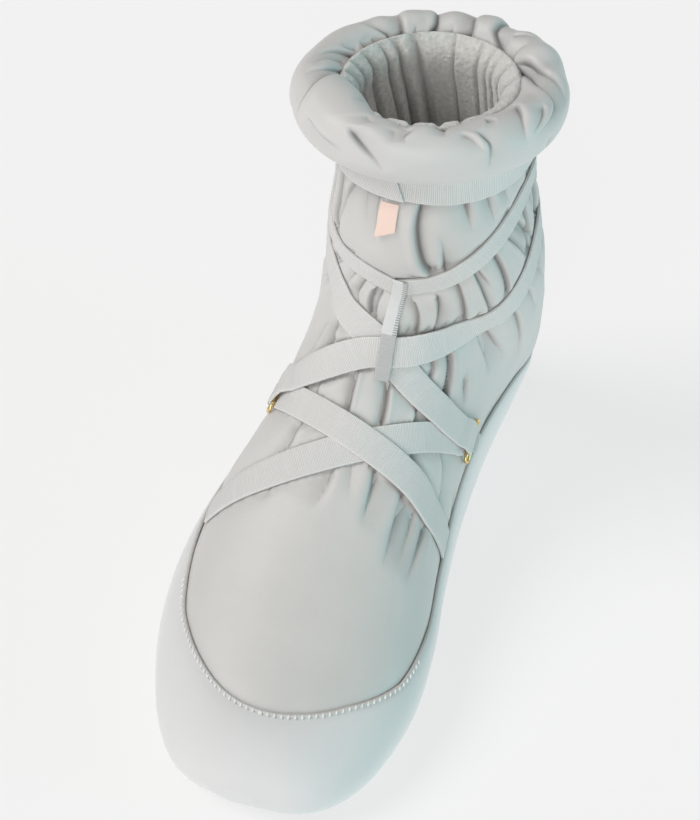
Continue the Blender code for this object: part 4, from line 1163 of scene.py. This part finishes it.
def makeCrossStrap():
    wide, thick = straps["crossWidth"], straps["thickness"]
    spots = [lateralRing.landing(False), *routePoints(straps["toLateralRing"][::-1])]
    firstRun = trimAtSeam(layStrap(spots, wide, thick, straps["layersToLateral"], True, lateralRing.cleared()))[::-1]
    spots = [lateralRing.landing(True), *routePoints(straps["roundAnkle"]), medialRing.landing(True)]
    total = pathThrough(spots)[1][-1]
    layers = straps["layersRound"] + tuple((total - far, high) for far, high in straps["layersToMedial"][::-1])
    secondRun = layStrap(spots, wide, thick, layers, True, lateralRing.cleared(), total - medialRing.cleared())
    spots = [medialRing.landing(False), *routePoints(straps["toMedialSeam"])]
    thirdRun = trimAtSeam(layStrap(spots, wide, thick, ((0, 0),), False, medialRing.cleared()))
    lateralFold = lateralRing.fold(wide, thick, lean=lateralRing.lean)
    medialFold = [row[::-1] for row in medialRing.fold(wide, thick, lean=medialRing.lean)[::-1]]
    rows = list(firstRun)
    for stretch in (lateralFold, secondRun, medialFold, thirdRun):
        rows += joinRows(rows[-1], stretch[0], straps["joinSteps"]) + stretch
    strapPiece("crossWebbing", rows, thick, webWide, ("cross_strap",))


def makeRing(name, place, look, replaces):
    half = ring["spacing"] / 2
    outline = []
    for end in (1, -1):
        for turn in np.linspace(0, math.pi, ring["endPoints"]):
            along = end * (ring["bar"] / 2 + half * math.sin(turn))
            outline.append(tuple(place.spot(along, half - end * half * math.cos(turn), place.height)))
    points = []
    for first, second in zip(outline, outline[1:] + outline[:1]):
        steps = max(1, round(math.dist(first, second) / ring["step"]))
        points += [np.array(first) + (np.array(second) - np.array(first)) * k / steps for k in range(steps)]
    newPiece(name, tube(points, ring["wire"] / 2, ring["sides"]), look, replaces)


def makeStraps():
    makeCrossStrap()
    gold, thick, tape = goldWire(), straps["thickness"], straps["tape"]
    tabFold = {"barOut": ring["spacing"], "facing": -1, "reach": straps["tabReach"], "settle": straps["tabSettle"]}
    for side, place in (("Lateral", lateralRing), ("Medial", medialRing)):
        makeRing("ring" + side, place, gold, ("ring_" + side.lower(),))
        rows = place.fold(straps["tabWidth"], tape, **tabFold)
        strapPiece("tab" + side, rows, tape, webTape, ("tab_" + side.lower(),))
    loop = routePoints(straps["ankle"] + straps["ankle"][:1])
    rows = layStrap(loop, straps["ankleWidth"], thick, ((0, 0),))
    strapPiece("ankleWebbing", rows[:-1], thick, webNarrow, ("ankle_strap",), closed=True)
    spots = routePoints(straps["band"])
    lapFrom = pathThrough(spots)[1][-1] - straps["bandLap"]
    layers = ((0, 0), (lapFrom - straps["bandLapRamp"], 0), (lapFrom, 1))
    rows = layStrap(spots, straps["bandWidth"], thick, layers, slant=straps["bandSlant"])
    strapPiece("topBandWebbing", rows, thick, webBand, ("top_band",))
    rows = layStrap(routePoints(straps["keeper"]), straps["keeperWidth"], tape, straps["layersKeeper"])
    strapPiece("keeperLoop", rows, tape, webKeeper, ("keeper",))
    rows = layStrap(routePoints(straps["ribbonRoute"]), straps["ribbonWidth"], straps["ribbon"], straps["layersRibbon"],
                    slant=straps["ribbonSlant"])
    strapPiece("ribbonTail", rows, straps["ribbon"], peachSatin(), ("ribbon_tail",))


# sole: soft slab with a pebbled underside

sole = {
    "stations": 120, "clearance": 0.5,
    "edge": ((0.0, 1.0), (0.0, 0.5), (0.15, 0.35), (0.5, 0.18), (1.0, 0.06), (1.8, 0.0)),   # inset, share of thickness
}


def makeSole():
    outline = levelLoop(lambda y, side: cutLevel(y), sole["stations"], -sole["clearance"], -sole["clearance"])[:-1]
    along = np.roll(outline, -1, 0) - np.roll(outline, 1, 0)
    along /= np.linalg.norm(along[:, :2], axis=1, keepdims=True)
    inward = np.stack((along[:, 1], -along[:, 0]), 1)
    if ((outline[:, :2].mean(0) - outline[:, :2]) * inward).sum() < 0:
        inward = -inward
    rings = []
    for inset, share in sole["edge"]:
        plan = outline[:, :2] + inward * inset
        rings.append(np.column_stack((plan, soleBottom(plan[:, 1]) + share * boot["soleThickness"])))
    rings, half, count = np.array(rings), sole["stations"], len(rings)

    def shape(around, along):            # across the sole and back over its top, from toe to heel
        lane, station = np.round(around * 2 * count).astype(int) % (2 * count), np.round(along * half).astype(int)
        return rings[np.minimum(lane, 2 * count - 1 - lane), np.where(lane < count, station, -station)]

    newPiece("soleSlab", clothGrid(2 * count, half, shape), soleRubber(), ("outsole",))


# floor, light and camera

stage = {
    "floor": (0.30, 0.296, 0.294), "floorSize": 12.0, "floorRough": 0.9, "glow": 0.645, "world": 0.34,
    "target": (3.5, -10.0, 110.0), "azimuth": 18.3, "elevation": 46.0, "roll": 1.5, "distance": 700.0,
    "lens": 76.83, "sensor": 36.0, "nearest": 0.01,
}
suns = (   # name, where it shines from, strength, spread in degrees, colour
    ("key", (-0.80, -0.40, 1.05), 1.43, 30, (1.0, 0.985, 0.965)),
    ("front", (0.05, -1.0, 0.30), 1.13, 45, (1.0, 1.0, 1.0)),
    ("teal", (1.0, 0.06, 0.06), 1.16, 30, (0.25, 0.95, 1.0)),
)


def sunLight(name, spot, power, spread, colour):
    light = bpy.data.lights.new(name, "SUN")
    light.energy = power
    light.angle = math.radians(spread)
    light.color = colour
    lamp = bpy.data.objects.new(name, light)
    lamp.location = spot
    lamp.rotation_euler = (-Vector(spot)).to_track_quat("-Z", "Y").to_euler()
    bpy.context.scene.collection.objects.link(lamp)


def makeFloor():
    work = bmesh.new()
    bmesh.ops.create_grid(work, x_segments=8, y_segments=8, size=stage["floorSize"])
    mesh = bpy.data.meshes.new("studioFloor")
    work.to_mesh(mesh)
    work.free()
    glow = {"Emission Color": (1, 1, 1), "Emission Strength": stage["glow"]}      # so that the shadow stays light
    look = looks("paleFloor", stage["floor"], stage["floorRough"], **{"Specular IOR Level": 0.0}, **glow)[0]
    mesh.materials.append(look)
    floor = bpy.data.objects.new("studioFloor", mesh)
    bpy.context.scene.collection.objects.link(floor)


def makeStage():
    makeFloor()
    world = bpy.data.worlds.new("studio")
    world.use_nodes = True
    world.node_tree.nodes["Background"].inputs[0].default_value = (1.0, 1.0, 1.0, 1)
    world.node_tree.nodes["Background"].inputs[1].default_value = stage["world"]
    bpy.context.scene.world = world
    for sun in suns:
        sunLight(*sun)
    bpy.context.scene.view_settings.view_transform = "Standard"
    lens = bpy.data.cameras.new("camera")
    lens.lens = stage["lens"]
    lens.sensor_width = stage["sensor"]
    lens.clip_start = stage["nearest"]
    turn, tilt, roll = (math.radians(stage[k]) for k in ("azimuth", "elevation", "roll"))
    back = Vector((math.sin(turn) * math.cos(tilt), -math.cos(turn) * math.cos(tilt), math.sin(tilt)))
    right = Vector((math.cos(turn), math.sin(turn), 0))
    up = back.cross(right)
    right, up = (right * math.cos(roll) + up * math.sin(roll), up * math.cos(roll) - right * math.sin(roll))
    view = Matrix((right, up, back)).transposed().to_4x4()
    view.translation = (Vector(stage["target"]) + back * stage["distance"]) * mm
    camera = bpy.data.objects.new("camera", lens)
    camera.matrix_world = view
    bpy.context.scene.collection.objects.link(camera)
    bpy.context.scene.camera = camera


makeShell()
makeRand()
makeSeam()
makeCollar()
makeLining()
makeStraps()
makeSole()
makeStage()
print("boot finished")
